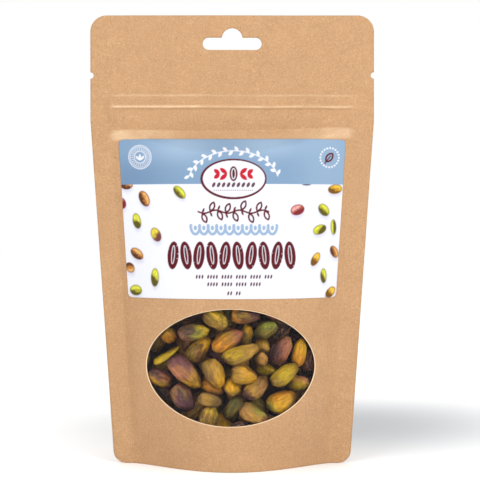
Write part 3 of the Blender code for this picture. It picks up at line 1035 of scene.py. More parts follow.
@dataclass(frozen=True)
class PrintedKernel:
    """A kernel printed on the label, in millimetres from the label's middle and bottom edge.

    turn is the way it points and dark_side the way its dark side faces, in degrees.
    """

    x: float
    z: float
    length: float
    width: float
    turn: float
    inks: NutInk
    dark_side: float


class LabelArt:
    """Paints the label's points with generic ornaments in millimetres: no words, names or marks."""

    SOFT = 0.32  # width of an edge in the print

    def __init__(self, x: np.ndarray, z: np.ndarray) -> None:
        """Starts with bare white stock.

        Args:
            x: distance of each point to the right of the label's middle line.
            z: its height above the label's bottom edge.
        """
        self.x, self.z = x, z
        self.rgb = np.tile(np.array(Ink.WHITE), (len(x), 1))

    def paint(self, distance: np.ndarray, ink: Colour, opacity: float = 1.0, soft: float = SOFT) -> None:
        """Covers the points inside a shape, where the distance to its edge is negative."""
        self.rgb = blend(self.rgb, ink, smooth(0.5 - distance / soft) * opacity)

    def local(self, x: float, z: float, turn: float) -> tuple[np.ndarray, np.ndarray]:
        """Coordinates along and across a shape at x, z that is turned by that many degrees."""
        c, s = math.cos(math.radians(turn)), math.sin(math.radians(turn))
        dx, dz = self.x - x, self.z - z
        return dx * c + dz * s, dz * c - dx * s

    def ellipse(self, x: float, z: float, a: float, b: float, turn: float = 0.0) -> np.ndarray:
        """Distance to an ellipse's edge."""
        u, v = self.local(x, z, turn)
        near = np.hypot(u / a, v / b) + 1e-9
        steep = np.hypot(u / a**2, v / b**2) + 1e-9
        return near * (near - 1) / steep

    def stroke(self, points: Sequence[tuple[float, float]], width: float) -> np.ndarray:
        """Distance to the edge of a line drawn through the points."""
        best = np.full(len(self.x), 1e9)
        for (ax, az), (bx, bz) in zip(points, points[1:]):
            span = (bx - ax) ** 2 + (bz - az) ** 2
            t = np.clip(((self.x - ax) * (bx - ax) + (self.z - az) * (bz - az)) / span, 0, 1)
            best = np.minimum(best, np.hypot(self.x - ax - t * (bx - ax), self.z - az - t * (bz - az)))
        return best - width / 2

    def leaf(self, x: float, z: float, length: float, width: float, turn: float) -> np.ndarray:
        """Distance to a leaf's edge. It starts at x, z and points along turn."""
        u, v = self.local(x, z, turn)
        u = u - length / 2
        radius = (length**2 / 4 + width**2 / 4) / width
        return np.hypot(u, np.abs(v) + radius - width / 2) - radius

    def band(self, height: float, depth: float) -> None:
        """The blue band along the top, with painted highlights and painted shade on its lower left."""
        self.paint(height - depth - self.z, Ink.BAND)
        inside = self.z > height - depth
        # Painted highlights near the top and to the right; painted shade at the lower left.
        band_highlight = np.exp(-(((self.x + 24) / 15) ** 2) - ((self.z - height + 4) / 7) ** 2)
        band_highlight += np.exp(-(((self.x - 17) / 16) ** 2) - ((self.z - height + 3) / 6) ** 2)
        shade = smooth((-self.x - 16) / 34) * smooth((height - 4 - self.z) / 14) * 0.8
        band_highlight += 0.5 * smooth((self.x - 24) / 20)
        for amount, ink in ((band_highlight * 0.75, Ink.BAND_HIGHLIGHT), (shade, Ink.BAND_SHADE)):
            self.rgb = blend(self.rgb, ink, np.clip(amount, 0, 1) * inside)

    def garland(self, x: float, z: float, a: float, b: float) -> None:
        """White leaves along an arch over the middle oval."""
        for angle in range(14, 170, 7):
            at = math.radians(angle)
            turn = math.degrees(math.atan2(b * math.cos(at), -a * math.sin(at)))
            tilt = 46 if (angle // 7) % 2 else -46
            self.paint(self.leaf(*around(x, z, a, b, angle), 2.7, 1.35, turn + tilt), Ink.WHITE)
        stem = [around(x, z, a, b, angle) for angle in range(12, 169, 4)]
        self.paint(self.stroke(stem, 0.45), Ink.WHITE)

    def oval(self, x: float, z: float, a: float, b: float) -> None:
        """The white oval with a maroon rim, which holds red leaves round a nut over small leaves."""
        self.paint(self.ellipse(x, z, a, b), Ink.MAROON)
        self.paint(self.ellipse(x + 0.2, z + 0.15, a - 1.0, b - 0.95), Ink.WHITE)
        for side in (-1, 1):
            for step, length in ((2.9, 4.4), (6.4, 3.4)):
                for turn in (38, -38):
                    aim = turn if side > 0 else 180 - turn
                    self.paint(self.leaf(x + side * step, z + 2.3, length, 2.0, aim), Ink.RED)
        self.paint(self.ellipse(x, z + 2.4, 1.9, 3.4), Ink.MAROON)
        self.paint(np.abs(self.ellipse(x, z + 2.4, 0.85, 2.3)) - 0.2, Ink.WHITE)
        for i in range(-4, 5):
            self.paint(self.ellipse(x + i * 2.3, z - 2.6, 1.25, 0.72, 60), Ink.GREY, 0.95)
        for i in range(-9, 10):
            self.paint(self.ellipse(x + i, z - 5.1, 0.34, 0.34), Ink.MAROON, 0.6)

    def ring_seal(self, x: float, z: float) -> None:
        """A white seal of rings with a leaf in the middle."""
        for radius, width in ((5.3, 0.4), (4.6, 0.28), (2.7, 0.4)):
            self.paint(np.abs(self.ellipse(x, z, radius, radius)) - width / 2, Ink.WHITE, 0.85)
        for angle in range(0, 360, 15):
            spot = around(x, z, 3.65, 3.65, angle)
            self.paint(self.ellipse(*spot, 0.62, 0.2, angle), Ink.WHITE, 0.75)
        for turn in (45, 90, 135):
            self.paint(self.leaf(x, z - 1.5, 3.0, 1.1, turn), Ink.WHITE, 0.9)

    def dot_seal(self, x: float, z: float) -> None:
        """A ring of white dots round a maroon leaf."""
        for angle in range(0, 360, 18):
            self.paint(self.ellipse(*around(x, z, 4.4, 4.4, angle), 0.42, 0.42), Ink.WHITE)
        leaf = self.leaf(x - 1.8, z - 2.1, 5.4, 3.5, 52)
        self.paint(np.abs(leaf + 0.4) - 0.4, Ink.MAROON)
        self.paint(self.stroke([(x - 2.2, z - 2.7), (x + 0.4, z + 0.7)], 0.55), Ink.MAROON)

    def sprig(self, x: float, z: float, half: float) -> None:
        """A hand-drawn maroon sprig: a wavy stem with an open leaf to each side in turn."""
        bend, leaves = 9.4, 4
        stem = [(x + t * half, z + 0.7 * math.sin(t * bend)) for t in np.linspace(-1, 1, 40)]
        self.paint(self.stroke(stem, 0.8), Ink.MAROON)
        for i in range(-leaves, leaves + 1):
            t = i / (leaves + 0.5)
            foot = (x + t * half, z + 0.7 * math.sin(t * bend))
            turn = 66 if i % 2 else -66
            self.paint(np.abs(self.leaf(*foot, 5.0, 2.9, turn) + 0.4) - 0.42, Ink.MAROON)
            self.paint(self.leaf(*foot, 2.6, 1.0, -turn), Ink.MAROON)

    def scroll(self, x: float, z: float, half: float) -> None:
        """A light blue running wave with a dot in each curl."""
        turns = 5
        wave = [
            (x + t * half - 0.9 * math.sin(t * turns * math.tau), z + 2.0 * math.cos(t * turns * math.tau))
            for t in np.linspace(-1, 1, 220)
        ]
        self.paint(self.stroke(wave, 1.3), Ink.SKY)
        for i in range(-turns, turns):
            self.paint(self.ellipse(x + (i + 0.5) * half / turns, z + 0.8, 0.8, 1.1), Ink.SKY)

    def nut_row(self, x: float, z: float, half: float, count: int) -> None:
        """A row of bold maroon nuts, stamped with ink that wore thin in places."""
        grain = Noise(31).rough(np.stack((self.x * 2.4, 0 * self.x, self.z * 2.4), 1), 2)
        wear = np.where(grain > 0.85, (grain - 0.85) * 4, 0.0)
        for i in range(count):
            px = x + half * (2 * i / (count - 1) - 1)
            tilt = 90 + (7 if i % 2 else -7)
            self.paint(self.ellipse(px, z, 6.3, 2.75, tilt) + wear, Ink.MAROON)
            self.paint(np.abs(self.ellipse(px, z + 0.3, 4.0, 0.72, tilt)) - 0.16, Ink.WHITE)

    def rule(self, x: float, z: float, half: float) -> None:
        """A line of small nuts, in groups of four."""
        step = 1.4
        count = int(half / step)
        for i in range(-count, count + 1):
            if i % 5:
                self.paint(self.ellipse(x + i * step, z, 0.95, 0.44, 78), Ink.GREY)

    def printed_kernel(self, k: PrintedKernel) -> None:
        """A kernel with its own light, dark side and soft shadow."""
        light, body, dark = k.inks.value
        shadow = self.ellipse(k.x + 0.1, k.z - 0.38 * k.width, k.length * 0.5, k.width * 0.5, k.turn)
        self.paint(shadow, Ink.SHADOW, 0.75, 2.4)
        edge = self.ellipse(k.x, k.z, k.length / 2, k.width / 2, k.turn)
        self.paint(edge, body)
        c, s = math.cos(math.radians(k.dark_side)), math.sin(math.radians(k.dark_side))
        side = ((self.x - k.x) * c + (self.z - k.z) * s) / (k.width / 2)
        wobble = 0.35 * Noise(int(abs(k.x) * 7)).at(np.stack((self.x, 0 * self.x, self.z), 1))
        self.paint(np.abs(edge + 0.15) - 0.3, dark, 0.4, 0.6)
        self.paint(np.maximum(edge, (0.12 - side + wobble) * 1.1), dark, 0.92, 0.7)
        self.paint(np.maximum(edge + 0.55, (0.3 + side + wobble) * 1.3), light, 0.85, 0.9)
        crease = np.abs(self.local(k.x, k.z, k.turn)[1] + 0.5 * wobble) - 0.12
        self.paint(np.maximum(edge + 0.6, crease), dark, 0.5, 0.4)


@dataclass
class Label:
    """The printed label on the front."""

    form: PouchForm
    share: float = 0.937
    corner: float = 2 * MM
    half_print: float = 52.5
    band_depth: float = 20.6
    spacing: float = 0.3 * MM
    back_every: int = 8
    thickness: float = 0.1 * MM
    lift: float = 0.22 * MM

    KERNELS = (
        PrintedKernel(-49.9, 51.4, 6.0, 4.2, 4, NutInk.TANNED, 250),
        PrintedKernel(-41.6, 45.0, 7.4, 4.7, -66, NutInk.TANNED, 205),
        PrintedKernel(-52.9, 43.0, 5.2, 4.2, -70, NutInk.REDDISH, 330),
        PrintedKernel(-45.8, 34.9, 7.0, 4.0, -80, NutInk.GREEN, 245),
        PrintedKernel(-36.6, 28.7, 6.6, 4.6, -62, NutInk.PLUM_TIPPED, 315),
        PrintedKernel(-46.6, 20.0, 6.9, 4.5, -34, NutInk.TANNED, 235),
        PrintedKernel(-50.6, 13.6, 5.0, 4.2, -40, NutInk.TANNED, 100),
        PrintedKernel(-38.0, 9.4, 8.2, 3.9, 85, NutInk.GREEN, 225),
        PrintedKernel(-48.2, 3.4, 6.2, 4.7, 2, NutInk.GREEN, 270),
        PrintedKernel(-24.6, 47.8, 7.0, 4.1, -46, NutInk.GREEN, 220),
        PrintedKernel(34.9, 51.9, 4.6, 1.8, 0, NutInk.SHADED, 270),
        PrintedKernel(48.8, 49.4, 6.8, 4.2, 6, NutInk.GOLDEN, 250),
        PrintedKernel(31.0, 39.9, 6.6, 4.7, 14, NutInk.REDDISH, 300),
        PrintedKernel(43.8, 39.9, 6.4, 4.4, -46, NutInk.GREEN, 232),
        PrintedKernel(49.0, 32.1, 6.9, 2.7, -84, NutInk.GREEN, 5),
        PrintedKernel(42.2, 31.0, 6.6, 4.2, 20, NutInk.GREEN, 320),
        PrintedKernel(50.2, 20.8, 6.0, 3.6, -56, NutInk.TANNED, 200),
        PrintedKernel(40.8, 17.6, 6.6, 3.6, 60, NutInk.GOLDEN, 240),
        PrintedKernel(45.3, 10.0, 6.6, 3.1, -84, NutInk.GREEN, 215),
        PrintedKernel(49.4, 2.4, 6.0, 3.9, 45, NutInk.GOLDEN, 225),
    )

    def art(self, x: np.ndarray, z: np.ndarray, height: float) -> np.ndarray:
        """The print's colour at each point, in millimetres on the label."""
        art = LabelArt(x, z)
        for kernel in self.KERNELS:
            art.printed_kernel(kernel)
        art.band(height, self.band_depth)
        art.garland(0.7, 52.2, 21.0, 14.2)
        art.oval(0.7, 53.7, 15.4, 9.2)
        art.ring_seal(-42.8, 63.9)
        art.dot_seal(45.3, 63.7)
        art.sprig(0.7, 39.0, 16.6)
        art.scroll(0.9, 30.9, 20.4)
        art.nut_row(-0.2, 19.4, 28.3, 10)
        art.rule(1.0, 9.9, 19.5)
        art.rule(1.0, 6.6, 14.2)
        art.rule(1.0, 2.6, 2.9)
        return art.rgb

    def steps(self, length: float) -> int:
        """How many steps of about the spacing fill a length, a whole number for each of the back's."""
        return self.back_every * round(length / self.spacing / self.back_every)

    def faces(self, rows: int, columns: int) -> tuple[list[tuple[int, ...]], np.ndarray]:
        """Faces of the fine front, of the coarse back and of the strips that join them.

        Args:
            rows: how many rows of points the front has.
            columns: how many points a row has.

        Returns:
            The faces, and which of the front's points the back repeats.
        """
        every, front = self.back_every, rows * columns
        number = np.arange(front).reshape(rows, columns)
        kept = number[::every, ::every]
        behind = front + np.arange(kept.size).reshape(kept.shape)
        faces = grid_faces(columns, rows)
        faces += [
            tuple(front + corner for corner in reversed(face))
            for face in grid_faces(kept.shape[1], kept.shape[0])
        ]
        for fine, rough in (
            (number[0, ::-1], behind[0, ::-1]),
            (number[::-1, -1], behind[::-1, -1]),
            (number[-1], behind[-1]),
            (number[:, 0], behind[:, 0]),
        ):
            for i in range(len(rough) - 1):
                strip = fine[i * every : (i + 1) * every + 1]
                faces.append((*strip.tolist(), int(rough[i + 1]), int(rough[i])))
        return faces, kept.ravel()

    def build(self, finishes: Finishes) -> bpy.types.Object:
        """Builds the label, whose face is finer than its back, and prints it."""
        low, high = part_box("front_label")
        rows = np.linspace(low.z, high.z, self.steps(high.z - low.z) + 1)
        inset = np.clip(self.corner - np.minimum(rows - low.z, high.z - rows), 0, self.corner)
        rounding = self.corner - np.sqrt(self.corner**2 - inset**2)
        reach = self.form.inner(rows) * self.share
        columns = self.steps(2 * reach[-1]) + 1
        x = np.linspace(-1, 1, columns)[None, :] * (reach - rounding)[:, None]
        printed = (x / reach[:, None]).ravel() * self.half_print
        x, z = x.ravel(), np.repeat(rows, columns)
        colours = self.art(printed, (z - low.z) / MM, (high.z - low.z) / MM)
        face = self.form.place(x, z, Side.FRONT, self.lift + self.thickness)
        faces, kept = self.faces(len(rows), columns)
        back = self.form.place(x[kept], z[kept], Side.FRONT, self.lift)
        placed = np.concatenate((face, back))
        colours = np.concatenate((colours, np.tile(np.array(Ink.WHITE), (len(back), 1))))
        piece = make_piece("front_label", placed, faces, (finishes.label,), {"print": colours})
        hand_over(piece, "label_paper", "front_label")
        return piece


# --- Kernels -------------------------------------------------------------------------------------


class Tone(Enum):
    """Colours that the kernels' flesh and skin take."""

    GOLD = srgb(207, 152, 13)
    AMBER = srgb(195, 127, 24)
    LIME = srgb(180, 147, 26)
    CHARTREUSE = srgb(192, 160, 22)
    GREEN = srgb(121, 125, 34)
    OLIVE = srgb(128, 100, 34)
    STRAW = srgb(170, 129, 46)
    TAN = srgb(172, 124, 62)
    PINK = srgb(154, 96, 67)
    ROSE = srgb(134, 70, 48)
    PLUM = srgb(64, 34, 44)
    MAUVE = srgb(96, 55, 65)
    DUSK = srgb(38, 28, 35)
    MOSS = srgb(96, 88, 26)
    FOREST = srgb(74, 74, 24)
    BROWN = srgb(98, 64, 28)


@dataclass(frozen=True)
class Wash:
    """Another tone over one side of a kernel.

    towards is that side, in degrees counter-clockwise from the right as seen from the front. edge
    is where it starts, from -1 on the far side to 1, and soft is how wide its edge is.
    """

    tone: Tone
    towards: float
    edge: float = 0.2
    soft: float = 0.75


@dataclass(frozen=True)
class KernelLook:
    """How one kernel is coloured, how deep its furrows are and how much skin clings to it."""

    tone: Tone
    washes: tuple[Wash, ...] = ()
    furrows: float = 1.0
    peel: float = 0.4

    @classmethod
    def of(cls, tone: Tone, *washes: Wash, furrows: float = 1.0, peel: float = 0.4) -> "KernelLook":
        """A look of one tone under any number of washes."""
        return cls(tone, washes, furrows, peel)


@dataclass
class Kernel:
    """One kernel: a plump seed with a slim end, which lies anywhere.

    axes holds three rows: along it to its slim end, across it, and out of its arched back.
    """

    centre: np.ndarray
    axes: np.ndarray
    size: np.ndarray
    half: bool = False
    taper: float = 0.16
    bend: float = 0.07
    half_face: float = 0.12

    @classmethod
    def from_node(cls, node: bpy.types.Object) -> "Kernel":
        """Reads a kernel from its frame node, whose poles are its two ends.

        Args:
            node: the frame's node.

        Returns:
            The kernel.
        """
        points = np.unique([np.round(v.co, 7) for v in node.data.vertices], axis=0)
        ends = cls._farthest(points)
        along = ends[1] - ends[0]
        length = float(np.linalg.norm(along))
        along /= length
        middle = ends.mean(axis=0)
        station = (points - middle) @ along / length
        off_axis = np.linalg.norm(points - middle - station[:, None] * length * along, axis=1)
        first, last = (off_axis[np.abs(station - tip) < 0.04].mean() for tip in (-0.43, 0.43))
        if first < last:
            along = -along
        ring = points[np.abs(station) < 0.03]
        sides = cls._farthest(ring)
        centre = sides.mean(axis=0)
        out = centre - middle
        out /= np.linalg.norm(out)
        across = np.cross(out, along)
        rise = (ring - centre) @ out
        lowest = math.sin(math.radians(72))  # the ring's ten points include none right below it
        size = np.array((length, np.linalg.norm(sides[1] - sides[0]), -2 * rise.min() / lowest))
        return cls(centre, np.array((along, across, out)), size, bool(rise.max() < -rise.min() * 0.5))

    @staticmethod
    def _farthest(points: np.ndarray) -> np.ndarray:
        """The two points that are farthest apart."""
        apart = np.linalg.norm(points[:, None] - points[None], axis=2)
        return points[list(np.unravel_index(apart.argmax(), apart.shape))]

    def place(self, unit: np.ndarray, swell: np.ndarray | float = 1.0) -> np.ndarray:
        """Takes points of the unit ball onto the kernel.

        Args:
            unit: N by 3 points: along, across and out.
            swell: how far out of the plain form each lies, where 1 is on it.

        Returns:
            N by 3 places.
        """
        along, across, out = unit.T
        slim = 1 - self.taper * along
        out = np.where(out > 0, out * self.half_face, out) if self.half else out
        local = np.stack(
            (
                along * swell * self.size[0] / 2,
                across * swell * slim * self.size[1] / 2,
                out * swell * slim * self.size[2] / 2 - self.bend * self.size[0] * along**2 / 2,
            ),
            1,
        )
        return self.centre + local @ self.axes

    def balls(self, count: int = 7) -> np.ndarray:
        """Balls that fill the kernel, as N rows of a centre and a radius."""
        along = np.cos(np.pi * (np.arange(count) + 0.5) / count)
        slim = (1 - self.taper * along) * np.sqrt(1 - along**2)
        wide, thin = slim * self.size[1] / 2, slim * self.size[2] / 2
        centres = self.place(np.stack((along, 0 * along, 0 * along), 1))
        spread = np.maximum(wide - thin, 0)[:, None] * self.axes[1]
        radii = np.minimum(wide, thin)
        both = np.concatenate((centres - spread, centres + spread))
        return np.column_stack((both, np.tile(radii, 2)))


class KernelSkin:
    """The surface of a kernel: its lumps, furrows, suture and clinging skin."""

    def __init__(self, fineness: int) -> None:
        """Makes the ball that every kernel is shaped from.

        Args:
            fineness: how often an icosahedron is subdivided for it.
        """
        ball = bmesh.new()
        bmesh.ops.create_icosphere(ball, subdivisions=fineness, radius=1.0)
        self.unit = np.array([v.co for v in ball.verts])
        self.faces = [tuple(v.index for v in f.verts) for f in ball.faces]
        ball.free()
        self.lumps, self.skin = Noise(11), Noise(23)

    def shape(self, kernel: Kernel, seed: int, depth: float) -> tuple[np.ndarray, np.ndarray]:
        """Shapes one kernel.

        Args:
            kernel: where it lies and its size.
            seed: which part of the noise it uses.
            depth: how deep its furrows are, where 1 is usual.

        Returns:
            Its points, and how deep in a furrow each lies, from 0 to 1.
        """
        u = self.unit
        offset = np.array((seed * 3.1, seed * 1.7, seed * 2.3))
        swell = 1.0 + 0.11 * self.lumps.at(u * (1.0, 1.3, 1.3) + offset)
        swell += 0.055 * self.lumps.at(u * (1.8, 2.9, 2.9) + offset + 5.0)
        random = np.random.default_rng(seed)
        for normal in random.normal(size=(7, 3)):
            normal[0] *= 0.6
            press = swell * (u @ (normal / np.linalg.norm(normal))) - random.uniform(0.8, 0.92)
            swell -= 0.85 * np.where(press > 0, press**2 / (press + 0.02), 0)
        lengthwise = self.lumps.at(u * (0.75, 2.7, 2.7) + offset + 9.0)
        where = smooth(0.45 + 1.3 * self.lumps.at(u * 1.2 + offset + 13.0))
        fold = np.exp(-((lengthwise / 0.13) ** 2)) * where * (1 - u[:, 0] ** 4)
        wrinkle = self.lumps.rough(u * (2.4, 7.0, 7.0) + offset, 2)
        wander = 0.12 * self.lumps.at(u * 1.6 + offset + 4.0)
        suture = np.exp(-(((u[:, 2] + wander) / 0.08) ** 2)) * (1 - u[:, 0] ** 4) * (seed % 3 == 0)
        swell += depth * (0.05 * lengthwise - 0.045 * fold + 0.012 * wrinkle) - 0.045 * suture
        swell -= 0.06 * np.exp(-(((u[:, 0] + 0.95) / 0.09) ** 2))
        bluff = u.copy()
        bluff[:, 1:] *= (np.hypot(u[:, 1], u[:, 2]) + 1e-6)[:, None] ** -0.1
        return kernel.place(bluff, swell * 0.99), np.clip(fold * depth + 0.7 * suture, 0, 1)

    def colour(
        self, kernel: Kernel, look: KernelLook, points: np.ndarray, furrow: np.ndarray, seed: int
    ) -> np.ndarray:
        """Colours one kernel.

        Args:
            kernel: where it lies and its size.
            look: its tones.
            points: its points.
            furrow: how deep in a furrow each lies.
            seed: which part of the noise it uses.

        Returns:
            A colour for each point.
        """
        u = self.unit
        offset = np.array((seed * 2.1, seed * 4.3, seed * 1.3))
        patch = self.skin.rough(u * (1.3, 1.9, 1.9) + offset, 3)
        streak = self.skin.rough(u * (1.5, 6.5, 6.5) + offset + 3.0, 2)
        fleck = self.skin.rough(u * (5.0, 9.0, 9.0) + offset, 4)
        rgb = np.tile(np.array(look.tone.value), (len(u), 1))
        for tone, amount, reach in (
            (Tone.BROWN, look.peel * 1.1, patch),
            (Tone.LIME, 0.45, -patch),
            (Tone.AMBER, 0.35, fleck + streak * 0.5),
        ):
            rgb = blend(rgb, tone.value, smooth(reach * 0.9 - 0.05) * amount)
        for number, wash in enumerate(look.washes):
            angle = math.radians(wash.towards)
            reach = (points[:, 0] - kernel.centre[0]) * math.cos(angle)
            reach += (points[:, 2] - kernel.centre[2]) * math.sin(angle)
            stray = self.skin.rough(u * (1.8, 3.0, 3.0) + offset + 5.0 * number, 3)
            share = reach / reach.max() - wash.edge + 0.3 * stray + 0.12 * streak
            cover = smooth(share / wash.soft + 0.5) * np.clip(0.86 + 0.3 * fleck, 0, 1)
            rgb = blend(rgb, wash.tone.value, cover)
        vein = np.exp(-((streak / 0.14) ** 2)) * smooth(0.5 + patch)
        rgb = blend(rgb, Tone.BROWN.value, vein * 0.45 * look.furrows)
        rgb = blend(rgb, Tone.ROSE.value, smooth((streak - 0.35) * 1.8) * (0.1 + 0.3 * look.peel))
        # Painted shade in the furrows and the suture's groove.
        rgb = blend(rgb, Tone.DUSK.value, furrow * 0.4)
        rgb = blend(rgb, Tone.DUSK.value, smooth((-u[:, 0] - 0.92) / 0.06) * 0.6)
        # Painted shade: browner and darker towards the kernel's back, away from the front.
        buried = (points[:, 1] - points[:, 1].min()) / (kernel.centre[1] - points[:, 1].min())
        painted_light = smooth((buried - 0.42 + 0.3 * patch) * 1.2)
        rgb = blend(rgb, Tone.BROWN.value, painted_light * 0.55)
        edge = 1.05 - 0.4 * np.clip(buried, 0, 1) ** 1.6
        relief = np.clip(1 + 0.16 * patch + 0.3 * streak + 0.26 * fleck, 0.4, 1.5)
        return rgb * (edge * relief)[:, None]


LOOKS = {
    "ridged": KernelLook.of(
        Tone.LIME, Wash(Tone.STRAW, 30, 0.1), Wash(Tone.OLIVE, 270, 0.3), furrows=2.0, peel=0.45
    ),
    "amber_large": KernelLook.of(
        Tone.GOLD, Wash(Tone.AMBER, 100, 0.4), Wash(Tone.GREEN, 225, 0.5), Wash(Tone.BROWN, 320, 0.65)
    ),
    "lime": KernelLook.of(Tone.CHARTREUSE, Wash(Tone.OLIVE, 225, 0.45), furrows=1.2, peel=0.1),
    "spotted": KernelLook.of(
        Tone.STRAW,
        Wash(Tone.TAN, 0, 0.0),
        Wash(Tone.DUSK, 78, 0.78, 0.35),
        Wash(Tone.PLUM, 225, 0.62, 0.4),
        furrows=1.4,
        peel=0.5,
    ),
    "mauve_patch": KernelLook.of(
        Tone.TAN,
        Wash(Tone.PINK, 150, -0.2),
        Wash(Tone.MAUVE, 80, 0.2, 0.4),
        Wash(Tone.GOLD, 315, 0.45),
        furrows=1.1,
        peel=0.3,
    ),
    "olive_oval": KernelLook.of(
        Tone.GOLD, Wash(Tone.STRAW, 120, -0.3), Wash(Tone.OLIVE, 180, 0.25), Wash(Tone.BROWN, 215, 0.55)
    ),
    "golden_end": KernelLook.of(Tone.GOLD, Wash(Tone.OLIVE, 270, 0.35), furrows=0.7, peel=0.2),
    "pink_tip": KernelLook.of(
        Tone.STRAW,
        Wash(Tone.AMBER, 200, 0.0),
        Wash(Tone.PINK, 10, 0.25),
        Wash(Tone.ROSE, 60, 0.6),
        furrows=1.4,
    ),
    "rosy": KernelLook.of(
        Tone.ROSE,
        Wash(Tone.PINK, 20, 0.2),
        Wash(Tone.DUSK, 180, 0.0),
        Wash(Tone.TAN, 30, 0.8, 0.3),
        furrows=1.3,
    ),
    "orange_slim": KernelLook.of(Tone.GOLD, Wash(Tone.AMBER, 270, 0.1), furrows=0.7, peel=0.2),
    "notched": KernelLook.of(
        Tone.GOLD, Wash(Tone.STRAW, 200, 0.0), Wash(Tone.BROWN, 45, 0.75, 0.3), furrows=1.4
    ),
    "two_tone": KernelLook.of(
        Tone.GREEN,
        Wash(Tone.PLUM, 165, -0.05, 0.4),
        Wash(Tone.PINK, 235, 0.6),
        Wash(Tone.LIME, 20, 0.5),
        furrows=1.2,
        peel=0.2,
    ),
    "olive_round": KernelLook.of(Tone.OLIVE, Wash(Tone.LIME, 60, 0.1), furrows=0.8, peel=0.3),
    "green_round": KernelLook.of(
        Tone.MOSS, Wash(Tone.GREEN, 110, 0.0), Wash(Tone.FOREST, 200, 0.5), peel=0.2
    ),
    "split_sliver": KernelLook.of(Tone.CHARTREUSE, furrows=0.6, peel=0.1),
    "tangerine": KernelLook.of(Tone.AMBER, Wash(Tone.STRAW, 90, 0.2), furrows=0.6, peel=0.2),
    "tan_lower": KernelLook.of(
        Tone.STRAW,
        Wash(Tone.GREEN, 60, 0.35),
        Wash(Tone.TAN, 180, 0.2),
        Wash(Tone.ROSE, 300, 0.55),
        furrows=1.4,
        peel=0.5,
    ),
    "leaf_green": KernelLook.of(Tone.FOREST, Wash(Tone.MOSS, 90, 0.2)),
    "striped_small": KernelLook.of(
        Tone.CHARTREUSE, Wash(Tone.PINK, 90, 0.6), Wash(Tone.BROWN, 170, 0.6, 0.3), furrows=1.4, peel=0.2
    ),
    "half_low": KernelLook.of(Tone.OLIVE, Wash(Tone.STRAW, 165, 0.1), Wash(Tone.TAN, 150, 0.7, 0.3)),
    "wedge_low": KernelLook.of(
        Tone.OLIVE, Wash(Tone.LIME, 60, 0.2), Wash(Tone.TAN, 120, 0.7, 0.3), furrows=1.5
    ),
    "plum_low": KernelLook.of(
        Tone.MAUVE, Wash(Tone.TAN, 180, 0.5), Wash(Tone.PLUM, 330, 0.3), furrows=0.8, peel=0.5
    ),
    "lime_small": KernelLook.of(Tone.LIME, Wash(Tone.PINK, 60, 0.45), peel=0.2),
    "amber_hidden": KernelLook.of(Tone.AMBER, Wash(Tone.BROWN, 270, 0.3), furrows=0.8, peel=0.3),
    "brown_mid": KernelLook.of(Tone.BROWN, Wash(Tone.GOLD, 45, 0.25), Wash(Tone.OLIVE, 180, 0.2)),
    "tan_pit": KernelLook.of(Tone.OLIVE, Wash(Tone.GOLD, 45, 0.3), furrows=0.8),
    "straw_small": KernelLook.of(Tone.STRAW, Wash(Tone.OLIVE, 250, 0.2), furrows=0.8, peel=0.3),
    "umber_top": KernelLook.of(
        Tone.BROWN, Wash(Tone.AMBER, 180, 0.5), Wash(Tone.PLUM, 20, 0.4), furrows=0.8, peel=0.5
    ),
    "plum_left": KernelLook.of(
        Tone.TAN,
        Wash(Tone.ROSE, 60, 0.2),
        Wash(Tone.PLUM, 120, 0.1),
        Wash(Tone.GOLD, 235, 0.3),
        furrows=0.8,
    ),
    "olive_left_low": KernelLook.of(Tone.OLIVE, Wash(Tone.BROWN, 225, 0.1), peel=0.5),
    "tan_bottom": KernelLook.of(Tone.GOLD, Wash(Tone.STRAW, 225, 0.3), peel=0.2),
    "straw_tip": KernelLook.of(Tone.TAN, Wash(Tone.OLIVE, 200, 0.3)),
    "maroon_top": KernelLook.of(Tone.PLUM, Wash(Tone.ROSE, 200, 0.2), furrows=0.8, peel=0.5),
    "dusk_top": KernelLook.of(Tone.DUSK, Wash(Tone.PLUM, 90, 0.2), furrows=0.8, peel=0.5),
    "dusk_left_top": KernelLook.of(Tone.DUSK, Wash(Tone.OLIVE, 0, 0.5), furrows=0.8, peel=0.5),
    "moss_top": KernelLook.of(Tone.FOREST, Wash(Tone.MOSS, 180, 0.3), furrows=0.8),
    "brown_right": KernelLook.of(Tone.PLUM, Wash(Tone.BROWN, 180, 0.2), furrows=0.8, peel=0.5),
    "dusk_right": KernelLook.of(Tone.DUSK, furrows=0.8, peel=0.5),
    "tan_right": KernelLook.of(Tone.BROWN, Wash(Tone.TAN, 180, 0.2), furrows=0.8, peel=0.5),
    "tan_left_top": KernelLook.of(Tone.OLIVE, Wash(Tone.BROWN, 180, 0.2), furrows=0.8, peel=0.5),
    "dusk_left_low": KernelLook.of(Tone.DUSK, Wash(Tone.PLUM, 60, 0.2), furrows=0.8, peel=0.5),
    "plum_bottom": KernelLook.of(Tone.PLUM, Wash(Tone.BROWN, 90, 0.2), furrows=0.8, peel=0.5),
}


@dataclass
class WindowKernels:
    """The kernels that show in the window, one piece each."""

    fineness: int = 6
    prefix: str = "kernel_"

    def build(self, finishes: Finishes) -> list[Kernel]:
        """Builds every kernel.

        Args:
            finishes: the materials.

        Returns:
            Where the kernels lie.
        """
        skin = KernelSkin(self.fineness)
        kernels = []
        for seed, (key, look) in enumerate(LOOKS.items()):
            name = self.prefix + key
            kernel = Kernel.from_node(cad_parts[name])
            points, furrow = skin.shape(kernel, seed, look.furrows)
            colours = skin.colour(kernel, look, points, furrow, seed)
            piece = make_piece(name, points, skin.faces, (finishes.kernel,), {"skin": colours})
            hand_over(piece, "pistachio_kernel", name)
            kernels.append(kernel)
        return kernels


